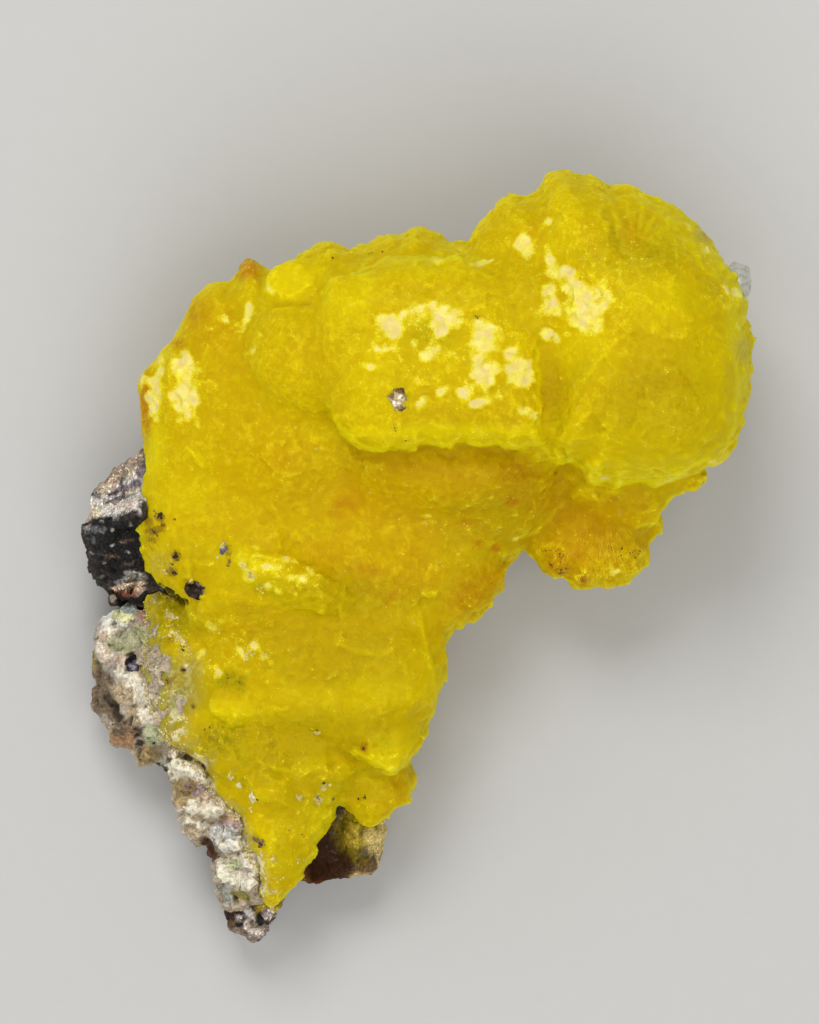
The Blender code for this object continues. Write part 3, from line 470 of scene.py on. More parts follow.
# What only shows as colour, in soft ellipses: x, y, half length, half width, turn, strength
crustTints = {
    # paler yellow where the crust is thin, and painted highlight on the lips, rims and rays where light comes
    # through
    "lemon":
        "648,227,15,2.4,60,0.8 639,223,16,2.4,80,0.9 629,223,16,2.4,100,0.8 620,227,15,2.4,122,0.8"
        " 612,234,12,2.4,145,0.6 658,233,14,2.4,40,0.8 672,226,10,30,-40,0.7 656,205,36,6,-25,0.6"
        " 600,475,30,8,0,0.7 292,282,28,18,22,1.0 152,455,12,26,0,0.9 180,495,30,20,10,0.4"
        " 262,572,46,16,-28,0.6 352,300,30,22,40,0.7 440,434,110,9,0,1.0 375,380,26,50,0,0.5"
        " 450,340,90,50,0,0.35 232,715,27,14,5,1.0 385,755,26,18,35,1.0 322,815,14,34,-25,0.8"
        " 640,468,80,16,8,0.7 560,436,30,26,-30,0.6 660,300,46,26,0,0.6 585,350,26,36,40,0.5"
        " 430,268,50,16,5,0.5 715,400,22,60,0,0.4 290,600,50,12,-20,0.4 370,700,60,10,10,0.35"
        " 310,765,40,8,10,0.3 690,240,30,20,-40,0.5 570,205,30,14,0,0.3 735,310,12,60,0,0.9"
        " 724,262,10,22,-40,0.8 738,400,8,50,-12,0.8 640,466,70,12,0,0.5 655,440,60,30,0,0.3"
        " 620,275,40,20,0,0.4 560,240,20,20,0,0.5 235,715,26,12,0,0.6 345,690,90,8,5,0.4 392,765,10,8,0,0.8"
        " 280,850,30,12,-50,0.4",
    # deeper amber where the crust is thick, and painted shade in the recesses below the ledges
    "amberAndShade":
        "450,505,150,46,0,0.6 515,505,60,44,0,0.75 400,782,13,26,0,1.0 370,500,50,34,20,0.7"
        " 585,535,60,44,0,1.0 480,590,40,34,30,0.8 400,570,70,40,0,0.6 350,560,60,40,0,0.5"
        " 300,500,50,34,0,0.45 270,460,40,30,20,0.5 235,430,36,40,0,0.35 205,320,26,36,40,0.8"
        " 240,380,24,50,0,0.35 147,402,8,30,0,0.8 246,272,14,12,0,0.7 330,640,80,36,0,0.45"
        " 250,620,50,24,10,0.5 640,395,50,40,0,0.25 556,400,12,40,10,0.5 385,800,26,20,0,0.5"
        " 436,640,10,30,0,0.3 360,740,40,26,0,0.3 160,590,14,8,30,0.5 300,600,50,14,0,0.4",
    # duller olive where the rock shows through, and painted shade on darker facets and along shadow lines
    "olive":
        "610,238,5,15,-20,0.5 648,254,16,9,10,0.55 588,258,16,7,-20,0.35 606,268,18,5,-10,0.3"
        " 655,268,26,6,10,0.3 630,250,6,14,30,0.4 330,740,100,30,0,0.35 320,790,60,30,0,0.35"
        " 335,592,90,20,-6,0.4 664,406,60,52,0,0.38 340,655,100,36,0,0.35 500,520,60,40,30,0.3"
        " 470,590,30,24,30,0.3 300,790,40,40,0,0.3 430,335,24,16,0,0.4 170,618,32,18,-25,0.8"
        " 190,690,26,26,0,0.5 215,742,34,22,30,0.8 262,768,60,22,15,0.5 228,679,16,10,0,0.8"
        " 241,684,6,12,0,0.7 243,892,14,10,30,0.9 300,730,90,20,8,0.4 270,640,50,20,10,0.25"
        " 286,860,20,30,-20,0.3 150,535,12,16,0,0.3 160,612,20,22,0,1.0 155,640,14,20,0,0.8"
        " 640,255,34,22,0,0.35 664,250,8,22,40,0.4 618,240,8,20,-20,0.4 558,404,13,40,8,0.4"
        " 578,376,22,10,45,0.3 530,300,14,30,0,0.2 250,745,50,30,10,0.45 330,770,60,40,0,0.3"
        " 225,780,20,30,0,0.3 165,728,16,12,0,1.0 154,722,8,6,0,1.2 165,664,12,5,-30,0.9 186,684,5,5,0,1.0"
        " 176,722,14,8,0,0.8 160,676,6,4,0,0.8 190,560,40,20,0,0.2 280,650,20,26,0,0.3 240,610,40,12,0,0.3"
        " 650,262,30,7,8,0.4 700,300,20,22,-30,0.25",
    "veil":  # pale green, where the crust thins out over the chalk
        "166,690,28,28,0,1.0 186,670,14,16,0,0.75 152,655,10,14,0,0.6 150,622,6,16,0,0.4"
        " 176,735,16,20,30,0.5 704,235,9,9,-40,0.8 741,350,8,13,0,0.45 162,562,10,10,0,0.35",
    "orange":
        "586,526,34,24,0,0.34 545,492,34,26,20,0.22 485,480,60,22,0,0.2 246,266,14,12,-20,1.0"
        " 145,402,6,34,0,1.0 583,579,6,6,0,0.8 178,344,7,5,0,0.7 368,569,16,6,-10,0.5 516,474,26,16,0,0.5"
        " 478,590,34,14,35,0.5 564,562,24,10,30,0.6 480,544,5,4,0,0.9 496,548,5,4,0,0.9 466,523,5,3,0,0.8"
        " 511,501,8,5,0,0.8 345,505,18,10,20,0.4 420,470,40,12,0,0.3 364,748,4,5,0,0.8 630,232,10,14,20,0.4"
        " 196,312,12,14,50,0.4 392,596,12,6,30,0.4",
    "chalky":  # white and cream crumbs
        "172,697,12,8,0,0.55 183,706,8,8,0,0.6 164,684,8,6,0,0.45 188,668,6,5,0,0.5 150,600,10,5,-20,0.5"
        " 160,635,10,5,0,0.45 196,764,14,9,-12,0.9 211,786,6,12,0,0.8 216,800,10,5,-12,0.7"
        " 238,822,9,7,-10,0.7 244,840,7,9,0,0.7 258,866,7,13,0,0.9 262,886,7,9,0,0.7 273,893,8,5,0,0.6"
        " 169,615,7,5,-20,0.6 176,634,9,6,0,0.5 183,645,5,8,0,0.5 178,715,12,10,0,0.6 176,735,10,8,0,0.7"
        " 318,801,7,4,0,0.8 170,655,8,4,0,0.45 324,788,4,5,0,0.7 252,798,4,8,0,0.7 238,786,3,4,0,0.7"
        " 231,776,3,5,0,0.5 300,797,6,3,0,0.5",
    "dusty":  # where the crust runs out onto the chalk
        "146,692,8,36,0,0.9 150,704,12,20,0,0.8 152,602,10,6,0,0.5 162,735,12,10,0,0.5 180,752,16,8,20,0.6"
        " 146,645,5,24,0,0.5 205,770,8,20,-20,0.6 225,806,18,8,-25,0.7 246,845,9,24,10,0.7"
        " 262,880,8,22,0,0.7",
    "sparkle":  # thick with tiny golden glints, painted as highlights
        "716,264,34,12,-52,1.0 728,292,22,18,0,1.0 741,326,9,16,0,1.0 602,192,7,14,20,0.9"
        " 642,196,14,5,-15,0.8 688,240,14,22,-45,0.7 555,240,34,34,0,0.7 630,262,50,16,0,0.7"
        " 440,350,100,56,0,0.7 590,300,50,50,0,0.8 640,474,90,10,0,0.8 440,440,110,7,0,0.7"
        " 230,640,50,40,0,0.7 270,572,50,22,-25,0.7 175,380,30,46,0,0.7 485,525,70,30,0,0.5"
        " 600,575,50,14,10,0.6 235,330,30,30,0,0.4 390,762,20,8,30,0.8 300,830,40,50,-40,0.5"
        " 264,880,20,30,0,0.8 160,460,14,30,0,0.5 740,365,8,24,0,0.5 470,255,60,16,10,0.5"
        " 190,650,30,50,0,0.6 225,730,40,20,0,0.4",
    "crackle":
        "556,560,14,18,0,1.0 626,556,40,26,-20,1.0 600,576,44,12,5,1.0 650,526,14,14,0,1.0"
        " 500,520,44,30,20,0.5 590,470,40,14,30,0.4 640,255,50,26,0,0.5 440,360,60,40,0,0.3",
    "stain":
        "155,530,10,4,10,1.0 149,522,5,6,0,0.8 152,540,8,4,0,0.6 150,548,5,8,0,0.4 163,524,3,6,0,0.7"
        " 160,517,5,4,0,0.9 176,556,5,6,20,0.9 172,572,6,5,0,0.7 228,550,6,7,0,0.6 229,562,3,6,0,0.5"
        " 562,570,12,5,10,0.5 549,556,6,10,-30,0.4 583,579,6,6,0,0.4 636,556,12,12,20,0.3 395,427,4,6,0,0.4"
        " 364,747,4,5,0,0.7 183,670,4,4,0,0.9 171,680,9,4,45,0.6 193,707,3,3,0,0.8 213,739,6,4,0,0.5"
        " 477,320,3,4,0,0.5 170,640,6,5,0,0.5 182,646,4,4,0,0.6",
    # painted highlights: pale cream over the facets turned to mirror the key light, and softer where no facet
    # is lit
    "glint":
        "391,324,17,9,-20,1.0 415,311,14,6,12,0.7 418,319,12,6,0,0.5 446,318,17,12,-25,1.0 440,330,9,7,0,0.9"
        " 385,349,14,4,0,1.0 395,335,8,5,10,1.0 414,346,4,6,0,1.0 368,366,12,5,-10,0.8 430,355,9,8,0,0.9"
        " 452,354,7,3,10,0.8 483,333,13,10,20,1.0 484,348,9,5,-10,1.0 483,373,13,16,10,1.0 510,353,6,9,0,1.0"
        " 520,374,14,14,0,1.0 417,382,4,6,0,0.8 442,391,9,6,30,0.9 425,399,5,5,0,0.8 417,405,3,4,0,0.8"
        " 466,391,10,6,40,1.0 479,403,11,4,10,0.9 499,397,3,10,30,0.8 523,410,9,7,0,0.8 535,416,4,5,0,1.0"
        " 482,263,13,3,15,0.8 440,263,4,6,-20,0.6 462,251,5,3,0,0.7 524,246,8,14,10,1.0 549,259,5,7,0,1.0"
        " 563,273,15,6,0,1.0 530,265,4,3,0,0.8 547,291,8,5,0,1.0 575,290,15,11,0,1.0 602,300,9,13,15,1.0"
        " 552,309,12,10,0,1.0 585,318,17,16,20,1.0 585,304,10,7,0,1.0 547,334,7,6,-20,1.0"
        " 557,342,4,3,-20,0.9 567,336,7,3,0,0.9 592,266,4,4,0,0.8 549,222,4,3,0,0.6 626,266,3,2,0,0.6"
        " 184,367,13,12,-10,1.0 184,398,14,16,20,1.0 161,360,4,5,0,1.0 161,371,3,6,0,0.9"
        " 149,381,10,5,-10,1.0 155,397,8,10,0,1.0 154,410,5,8,10,1.0 157,420,4,3,0,0.8 186,353,6,3,-30,0.9"
        " 188,421,12,2,0,0.5 250,310,4,6,-20,1.0 247,319,3,7,-20,1.0 243,330,3,4,0,0.9 225,320,5,5,0,0.9"
        " 260,333,2,3,0,0.8 255,348,3,5,0,0.6 258,372,2,4,10,0.6 270,290,3,6,20,0.8 316,289,5,3,30,0.6"
        " 317,272,2,2,0,0.7 272,567,14,3,-8,1.0 277,577,8,2,0,0.9 268,586,5,3,-20,1.0 279,590,6,3,-35,1.0"
        " 258,589,3,2,0,0.7 301,579,9,3,-35,1.0 258,548,10,2,-15,0.8 262,556,9,2,-10,0.8"
        " 292,560,10,2,-20,0.7 312,572,8,2,-25,0.6 243,563,4,5,-20,0.8 251,575,6,5,-30,0.9"
        " 216,630,8,4,-40,0.6 240,651,13,3,-48,0.8 254,644,5,6,-20,0.9 263,657,5,4,30,0.8"
        " 202,652,6,2,-20,0.7 217,669,3,6,20,0.6 267,681,4,3,0,0.8 265,675,3,2,0,0.6 256,689,2,2,0,0.7"
        " 468,506,5,2,0,0.7 489,498,9,2,25,0.6 513,515,6,1.6,-5,0.9 491,530,6,1.6,0,0.7 514,532,2,2,0,0.8"
        " 479,538,5,1.6,-5,0.7 516,539,5,1.6,0,0.7 480,553,3,1.6,0,0.6 500,552,3,1.6,0,0.6 425,517,4,2,0,0.6"
        " 407,542,2,2,0,0.7 441,555,3,2,0,0.7 336,471,2,2,0,0.6 333,530,2,2,0,0.6 421,617,2,6,0,0.6"
        " 705,252,5,4,-40,0.9 689,228,5,5,-40,0.6 725,267,4,3,-40,0.9 734,292,9,4,0,1.0 741,299,5,4,-20,0.8"
        " 736,329,3,3,30,0.9 714,282,4,1.6,0,0.7 719,378,2,2,0,0.7 710,398,2,1.6,0,0.6 642,197,6,2,-15,0.7"
        " 603,196,4,3,0,0.6 650,433,2,1.6,0,0.7 587,466,4,2,0,0.7 606,479,8,1.6,-15,0.6 649,484,3,1.6,0,0.8"
        " 673,478,6,2,15,0.8 713,463,8,2,-10,0.9 618,557,4,2,0,0.6 600,570,2,2,0,0.6 617,573,4,2,0,0.5"
        " 318,733,4,4,0,0.4 265,802,6,5,-30,0.4 378,801,2,2,0,0.5",
}


def fadeEnds(passed, share):  # 1 along a line, fading out over a share of it at each end
    return smooth(passed, 0, share) * smooth(1 - passed, 0, share)


def outlineReach(centre, outline, angles):  # how far an outline lies from its centre, each way
    start = outline - centre
    side = np.roll(start, -1, axis=0) - start
    way = np.stack([np.cos(angles), np.sin(angles)], 1)[:, None, :]
    across = way[..., 0] * side[:, 1] - way[..., 1] * side[:, 0]
    across = np.where(np.abs(across) < 1e-9, 1e-9, across)
    reach = (start[:, 0] * side[:, 1] - start[:, 1] * side[:, 0]) / across
    along = (start[:, 0] * way[..., 1] - start[:, 1] * way[..., 0]) / across
    hit = (along >= -1e-6) & (along <= 1 + 1e-6) & (reach > 0)
    return np.where(hit, reach, 0).max(1)


def dome(lobe, ball):
    power = 2 / lobe.get("square", crust["square"])
    angles = np.arctan2(ball[:, 1], ball[:, 0])
    up = np.clip(np.abs(ball[:, 2]), 0, 1) ** power
    centre = plan(*lobe["centre"])
    reach = outlineReach(centre, line(lobe["outline"]), angles)
    reach = reach * np.clip(np.hypot(ball[:, 0], ball[:, 1]), 0, 1) ** power
    east, north = reach * np.cos(angles), reach * np.sin(angles)
    above = ball[:, 2] > 0
    height = np.where(above, lobe["crown"] - lobe["rim"], lobe["rim"] - lobe["foot"])
    level = lobe["rim"] + np.sign(ball[:, 2]) * height * up
    climb = (lobe["climb"][0] * east + lobe["climb"][1] * north) * np.where(above, up, 0)
    return np.stack([centre[0] + east, centre[1] + north, level + climb], 1)


def makeCrust():
    ball, faces = unitBall(crust["ball"])
    small, smallFaces = unitBall(4)
    points, allFaces = [], []
    for lobe in crust["lobes"].values():
        allFaces.append(faces + sum(map(len, points)))
        points.append(dome(lobe, ball))
    for at, top, half, turn in crust["swellings"]:
        c, s = math.cos(math.radians(turn)), math.sin(math.radians(turn))
        oval = small * half
        oval = np.stack([oval[:, 0] * c - oval[:, 1] * s, oval[:, 0] * s + oval[:, 1] * c, oval[:, 2]], 1)
        allFaces.append(smallFaces + sum(map(len, points)))
        points.append(oval + (*plan(*at), top - half[2]))
    obj = newObject("crust_surface", np.concatenate(points), np.concatenate(allFaces))
    fuse(obj, crust["lobeVoxel"])
    clay = Clay(obj)
    hollow = clay.spread(np.clip(-clay.bulge(6) / crust["creaseDeep"], 0, 1), 2)
    clay.soften(crust["creaseRounds"], hollow * clay.upward())
    nearLip = np.zeros(len(clay.points))
    for path, _, _, _, bright in crust["ledges"]:
        if bright > 0.5:
            far = clay.besideLine(line(path))[0]
            nearLip = np.maximum(nearLip, np.exp(-((far / crust["lipNear"]) ** 2)))
    flattened = np.clip(patches(clay, crust["flattened"]), 0, 1) * (1 - nearLip)
    clay.soften(crust["flowRounds"], flattened * clay.upward())
    soft = clay.spread(np.clip(-clay.bulge(60) / crust["hollowDeep"], 0, 1), 12)
    soft = clay.spread(soft * (1 - nearLip), 4)
    clay.soften(crust["flowRounds"], np.clip(1.3 * soft, 0, 1) * clay.upward())
    print("crust: lobes fused,", len(clay.points), "points")

    up = clay.upward()
    clay.move(clay.ripple(crust["slow"], 1) * (0.35 + 0.65 * up) + clay.ripple(crust["quick"], 2))
    flatWay = clay.normals * (1, 1, 0)
    straight = 1 - np.clip(patches(clay, crust["straight"]), 0, 1)
    clay.move((clay.ripple(crust["wall"], 12) + clay.ripple(crust["wallFine"], 13)) * straight, flatWay)
    fuse(obj, crust["fineVoxel"])
    clay = Clay(obj)
    clay.soften(1, np.full(len(clay.points), 0.8))
    clay.facet(crust["cells"], 3)
    walls = 1 - smooth(clay.spread(clay.normals[:, 2], 3), 0.2, 0.65)
    straight = 1 - np.clip(patches(clay, crust["straight"]), 0, 1)
    clay.facet(crust["wallCells"], 11, where=walls * (0.3 + 0.7 * straight))
    clay.facet(crust["wallChips"], 14, where=walls)
    lip = np.zeros(len(clay.points))
    for path, rise, drop, fade, bright in crust["ledges"]:
        lip = np.maximum(lip, addLedge(clay, line(path), rise, drop, fade) * bright)
    for (x, y), ribs, deep, spots in crust["fans"]:
        gap = clay.points[:, :2] - plan(x, y)
        turn, away = np.arctan2(gap[:, 1], gap[:, 0]), np.hypot(*gap.T)
        places = np.stack([turn * ribs, away * 0.25, 0 * away], 1)
        rib = np.array([noise.noise(place) for place in places.tolist()])
        clay.move(deep * rib * np.clip(patches(clay, spots), 0, 1) * smooth(away, 0.4, 1.5))
    for path, deep, wide in crust["grooves"]:
        far, passed = clay.besideLine(line(path))
        ends = fadeEnds(passed, 0.12)
        clay.move(-deep * np.exp(-((far / wide) ** 2)) * ends * (clay.normals[:, 2] > 0.05))
        if (path, deep, wide) == crust["grooves"][0]:  # the open crack, dark inside
            crack = ends * np.exp(-((far / crust["crackDark"]) ** 2))
    spark = patches(clay, crustTints["glint"])
    near = np.clip(clay.spread(spark, 8) * 1.6, 0, 1)
    clay.facet(crust["lipChips"], 15, where=np.clip(clay.spread(lip, 4) * 2.5, 0, 1))
    own, search = clay.facet(crust["sparkCells"], 5, where=near, turnTo=(spark, mirrorWay(), 0.1))
    clay.facet(crust["crumb"], 8, where=1 - 0.7 * near)
    clay.move(clay.ripple(crust["crumbs"], 6) * (1 - 0.6 * near))
    print("crust: sculpted,", len(clay.points), "points")

    facingUp = smooth(clay.normals[:, 2], -0.25, 0.15)
    for name, spots in crustTints.items():
        if name != "glint":
            clay.mark(name, patches(clay, spots) * facingUp)
    # painted highlight: the glint colour over lit facets, and softer over the rest of each glint
    flashing = np.maximum(litCells(spark, own, search), crust["ownGlow"] * smooth(spark, 0.2, 0.85))
    clay.mark("glint", clay.spread(flashing, 2) * facingUp)
    # painted highlight along the bright lips
    clay.mark("lip", lip * facingUp)
    clay.mark("crack", crack)
    # painted highlight on the steep walls at the rim
    rising = clay.spread(clay.normals[:, 2], 2)
    clay.mark("rimHighlight", smooth(rising, -0.15, 0.05) * (1 - smooth(rising, 0.15, 0.5)))
    for number in crust["fansInColour"]:
        clay.mark(f"fan{number}", np.clip(patches(clay, crust["fans"][number][3]), 0, 1) * facingUp)
    # how far points stand out: the material paints light on ridges and shade in creases from these
    clay.mark("ridge", clay.bulge(14))
    clay.mark("broad", clay.bulge(60))
    hidden = 1 - smooth(clay.normals[:, 2], -0.5, 0.1)
    thin(obj, crust["triangles"], 0.12 + 0.88 * hidden)
    print("crust: thinned,", triangleCount(obj), "triangles")
    return obj


def litCells(spark, own, search):  # whole cells that flash as painted highlights, with a dull seam between them
    tree, places = search
    count = np.bincount(own)
    share = np.bincount(own, spark) / np.maximum(count, 1)
    draw = np.random.default_rng(21).uniform(-0.2, 0.2, len(count))
    bright = np.random.default_rng(22).uniform(0.62, 1.0, len(count))
    lit = np.where(share + draw > crust["litShare"], bright, 0)[own]
    for index in np.where(lit)[0]:
        (_, _, nearest), (_, _, second) = tree.find_n(places[index], 2)
        if second - nearest < crust["litSeam"]:
            lit[index] = crust["seamGlow"]
    return lit * np.clip(0.55 + 0.6 * spark, 0, 1)


def addLedge(clay, path, rise, drop, fade):  # also says how near the lip each point is
    far, passed = clay.besideLine(path)
    far = far + clay.ripple(crust["ledge"], 9) + clay.ripple(crust["ledgeFine"], 10)
    ends = fadeEnds(passed, 0.15)
    left = smooth(far, -0.1, 0.12)
    lift = left * rise * np.exp(-np.abs(far) / fade) - (1 - left) * drop * np.exp(-np.abs(far) / fade)
    clay.move(lift * ends * clay.upward(3), np.array([[0, 0, 1.0]]))
    return ends * np.exp(-((far - crust["lipInside"]) / crust["lipWide"]) ** 2)


studio = {
    "middle": (-0.708, 3.917, 15.0),  # the point of the specimen under the photo's centre, in mm
    "cameraFar": 2.0,
    "frameTall": 85.333,  # the height of the photo's frame, in mm
    "key": {"from": (-0.12, 0.46, 0.72), "size": 0.34, "watts": 3.1},
    "fill": {"from": (0.15, -0.45, 0.85), "size": 0.9, "watts": 4.8},
    "side": {"from": (-0.75, 0.1, 0.45), "size": 0.5, "watts": 1.2},
    "sky": 0.36,
    "floor": (0.56, 0.555, 0.54),
    "floorHalf": 1500,  # mm
}


def mirrorWay():  # the facing that mirrors the key light into the camera
    toKey = Vector(studio["key"]["from"]).normalized()
    return np.array((toKey + Vector((0, 0, 1))).normalized())


def addLight(name, settings):
    data = bpy.data.lights.new(name, "AREA")
    data.size = settings["size"]
    data.energy = settings["watts"]
    light = bpy.data.objects.new(name, data)
    bpy.context.scene.collection.objects.link(light)
    light.location = settings["from"]
    aim = Vector(studio["middle"]) * mm
    light.rotation_euler = (aim - light.location).to_track_quat("-Z", "Y").to_euler()


def makeStudio():
    scene = bpy.context.scene
    scene.view_settings.view_transform = "Standard"
    data = bpy.data.cameras.new("camera")
    data.sensor_width = 36
    data.lens = 36 * studio["cameraFar"] / (studio["frameTall"] * mm)
    data.clip_end = 10
    camera = bpy.data.objects.new("camera", data)
    scene.collection.objects.link(camera)
    x, y, z = studio["middle"]
    camera.location = (x * mm, y * mm, z * mm + studio["cameraFar"])
    scene.camera = camera
    for name in ("key", "fill", "side"):
        addLight(name, studio[name])
    world = bpy.data.worlds.new("world")
    world.use_nodes = True
    world.node_tree.nodes["Background"].inputs["Color"].default_value = (1, 1, 1, 1)
    world.node_tree.nodes["Background"].inputs["Strength"].default_value = studio["sky"]
    scene.world = world
    corners = np.array([(-1, -1, 0), (1, -1, 0), (1, 1, 0), (-1, 1, 0)]) * studio["floorHalf"]
    floor = newObject("floor", corners, [(0, 1, 2, 3)])
    material = bpy.data.materials.new("paleFloor")
    material.use_nodes = True
    shader = material.node_tree.nodes["Principled BSDF"]
    start = Wire(material.node_tree)
    grain = start.noise(start.place(), 1.5, 3)
    darker = tuple(0.97 * part for part in studio["floor"])
    start.join(mixColour(grain, studio["floor"], darker), shader, "Base Color")
    shader.inputs["Roughness"].default_value = 0.8
    floor.data.materials.append(material)


class Wire:  # a socket that can stand in a sum
    def __init__(self, tree, socket=None):
        self.tree = tree
        self.socket = socket

    def node(self, kind, settings=None, sockets=None, out=0):
        made = self.tree.nodes.new(kind)
        for name, value in (settings or {}).items():
            setattr(made, name, value)
        for name, value in (sockets or {}).items():
            self.join(value, made, name)
        return Wire(self.tree, made.outputs[out])

    def join(self, value, made, name):
        if isinstance(value, Wire):
            self.tree.links.new(value.socket, made.inputs[name])
        elif isinstance(value, tuple) and made.inputs[name].type == "RGBA":
            made.inputs[name].default_value = (*value, 1)
        else:
            made.inputs[name].default_value = value

    def maths(self, operation, a, b):
        return self.node("ShaderNodeMath", {"operation": operation}, {0: a, 1: b})

    def __add__(self, other):
        return self.maths("ADD", self, other)

    def __radd__(self, other):
        return self.maths("ADD", other, self)

    def __sub__(self, other):
        return self.maths("SUBTRACT", self, other)

    def __rsub__(self, other):
        return self.maths("SUBTRACT", other, self)

    def __mul__(self, other):
        return self.maths("MULTIPLY", self, other)

    def __rmul__(self, other):
        return self.maths("MULTIPLY", other, self)

    def clamp(self):
        return self.node("ShaderNodeClamp", sockets={"Value": self})

    def clampTo(self, low, high):
        return self.node("ShaderNodeClamp", sockets={"Value": self, "Min": low, "Max": high})

    def step(self, low, high):  # 0 below low, 1 above high, smooth between
        settings = {"interpolation_type": "SMOOTHSTEP"}
        return self.node("ShaderNodeMapRange", settings, {"Value": self, "From Min": low, "From Max": high})

    def place(self):  # where the surface is, in mm
        here = self.node("ShaderNodeTexCoord", out="Object")
        return self.node("ShaderNodeVectorMath", {"operation": "SCALE"}, {0: here, "Scale": 1000.0})

    def mark(self, name, out="Fac"):
        return self.node("ShaderNodeAttribute", {"attribute_name": name}, out=out)

    def noise(self, place, size, detail=2.0, rough=0.5):
        sockets = {"Vector": place, "Scale": 1 / size, "Detail": detail, "Roughness": rough}
        return self.node("ShaderNodeTexNoise", sockets=sockets)

    def cells(self, place, size, out="Color"):
        return self.node("ShaderNodeTexVoronoi", sockets={"Vector": place, "Scale": 1 / size}, out=out)

    def tilt(self, place):  # of cells: how far up its own cell's slope a place lies
        seed = Wire(self.tree, self.socket.node.outputs["Position"])
        slope = self.vector("SUBTRACT", self, (0.5, 0.5, 0.5))
        return self.vector("DOT_PRODUCT", self.vector("SUBTRACT", place, seed), slope, 1)

    def vector(self, operation, a, b, out=0):
        return self.node("ShaderNodeVectorMath", {"operation": operation}, {0: a, 1: b}, out)

    def length(self):  # of its east and north parts
        flat = self.vector("MULTIPLY", self, (1.0, 1.0, 0.0))
        return self.node("ShaderNodeVectorMath", {"operation": "LENGTH"}, {0: flat}, 1)

    def part(self, number):  # one number of a colour or vector
        return self.node("ShaderNodeSeparateXYZ", sockets={0: self}, out=number)

    def bump(self, height):  # height in mm
        return self.node("ShaderNodeBump", sockets={"Height": height, "Strength": 1.0, "Distance": mm})


def mixColour(mask, under, over):
    wire = next(value for value in (mask, under, over) if isinstance(value, Wire))
    return wire.node("ShaderNodeMix", {"data_type": "RGBA"}, {0: mask, 6: under, 7: over}, 2)


def tinted(colour, value):  # a colour made darker or lighter by a number
    return colour.node("ShaderNodeVectorMath", {"operation": "SCALE"}, {0: colour, "Scale": value})


def newMaterial(name, settings):
    material = bpy.data.materials.new(name)
    material.use_nodes = True
    shader = material.node_tree.nodes["Principled BSDF"]
    for socket, value in settings.items():
        shader.inputs[socket].default_value = value
    return material, shader, Wire(material.node_tree)


waxy = {
    "sockets": {
        "Subsurface Weight": 1.0,
        "Subsurface Radius": (1.0, 0.66, 0.05),
        "Subsurface Scale": 0.0013,
        "Specular IOR Level": 0.04,
        "Coat Roughness": 0.28,
        "Coat IOR": 1.57,
    },
    "lemon": (0.82, 0.69, 0.002),
    "yellow": (0.70, 0.54, 0.002),
    "honey": (0.60, 0.42, 0.001),
    "amberAndShade": (0.57, 0.33, 0.001),
    "olive": (0.36, 0.29, 0.002),
    "veil": (0.32, 0.27, 0.05),
    "veilPale": (0.52, 0.45, 0.14),
    "dusty": (0.52, 0.45, 0.13),
    "stain": (0.22, 0.12, 0.008),
    "orange": (0.50, 0.22, 0.002),
    "crack": (0.03, 0.018, 0.01),
    "chalkDark": (0.46, 0.38, 0.16),
    "chalkLight": (0.80, 0.72, 0.40),
    # Painted highlights: the bright fleck, the glint, its rosy core, its halo and the gold
    "highlightFleck": (0.90, 0.80, 0.02),
    "pit": (0.34, 0.21, 0.004),
    "glint": (0.89, 0.79, 0.15),
    "rosyGlint": (0.82, 0.66, 0.25),
    "halo": (0.88, 0.78, 0.02),
    "gold": (0.94, 0.84, 0.06),
}


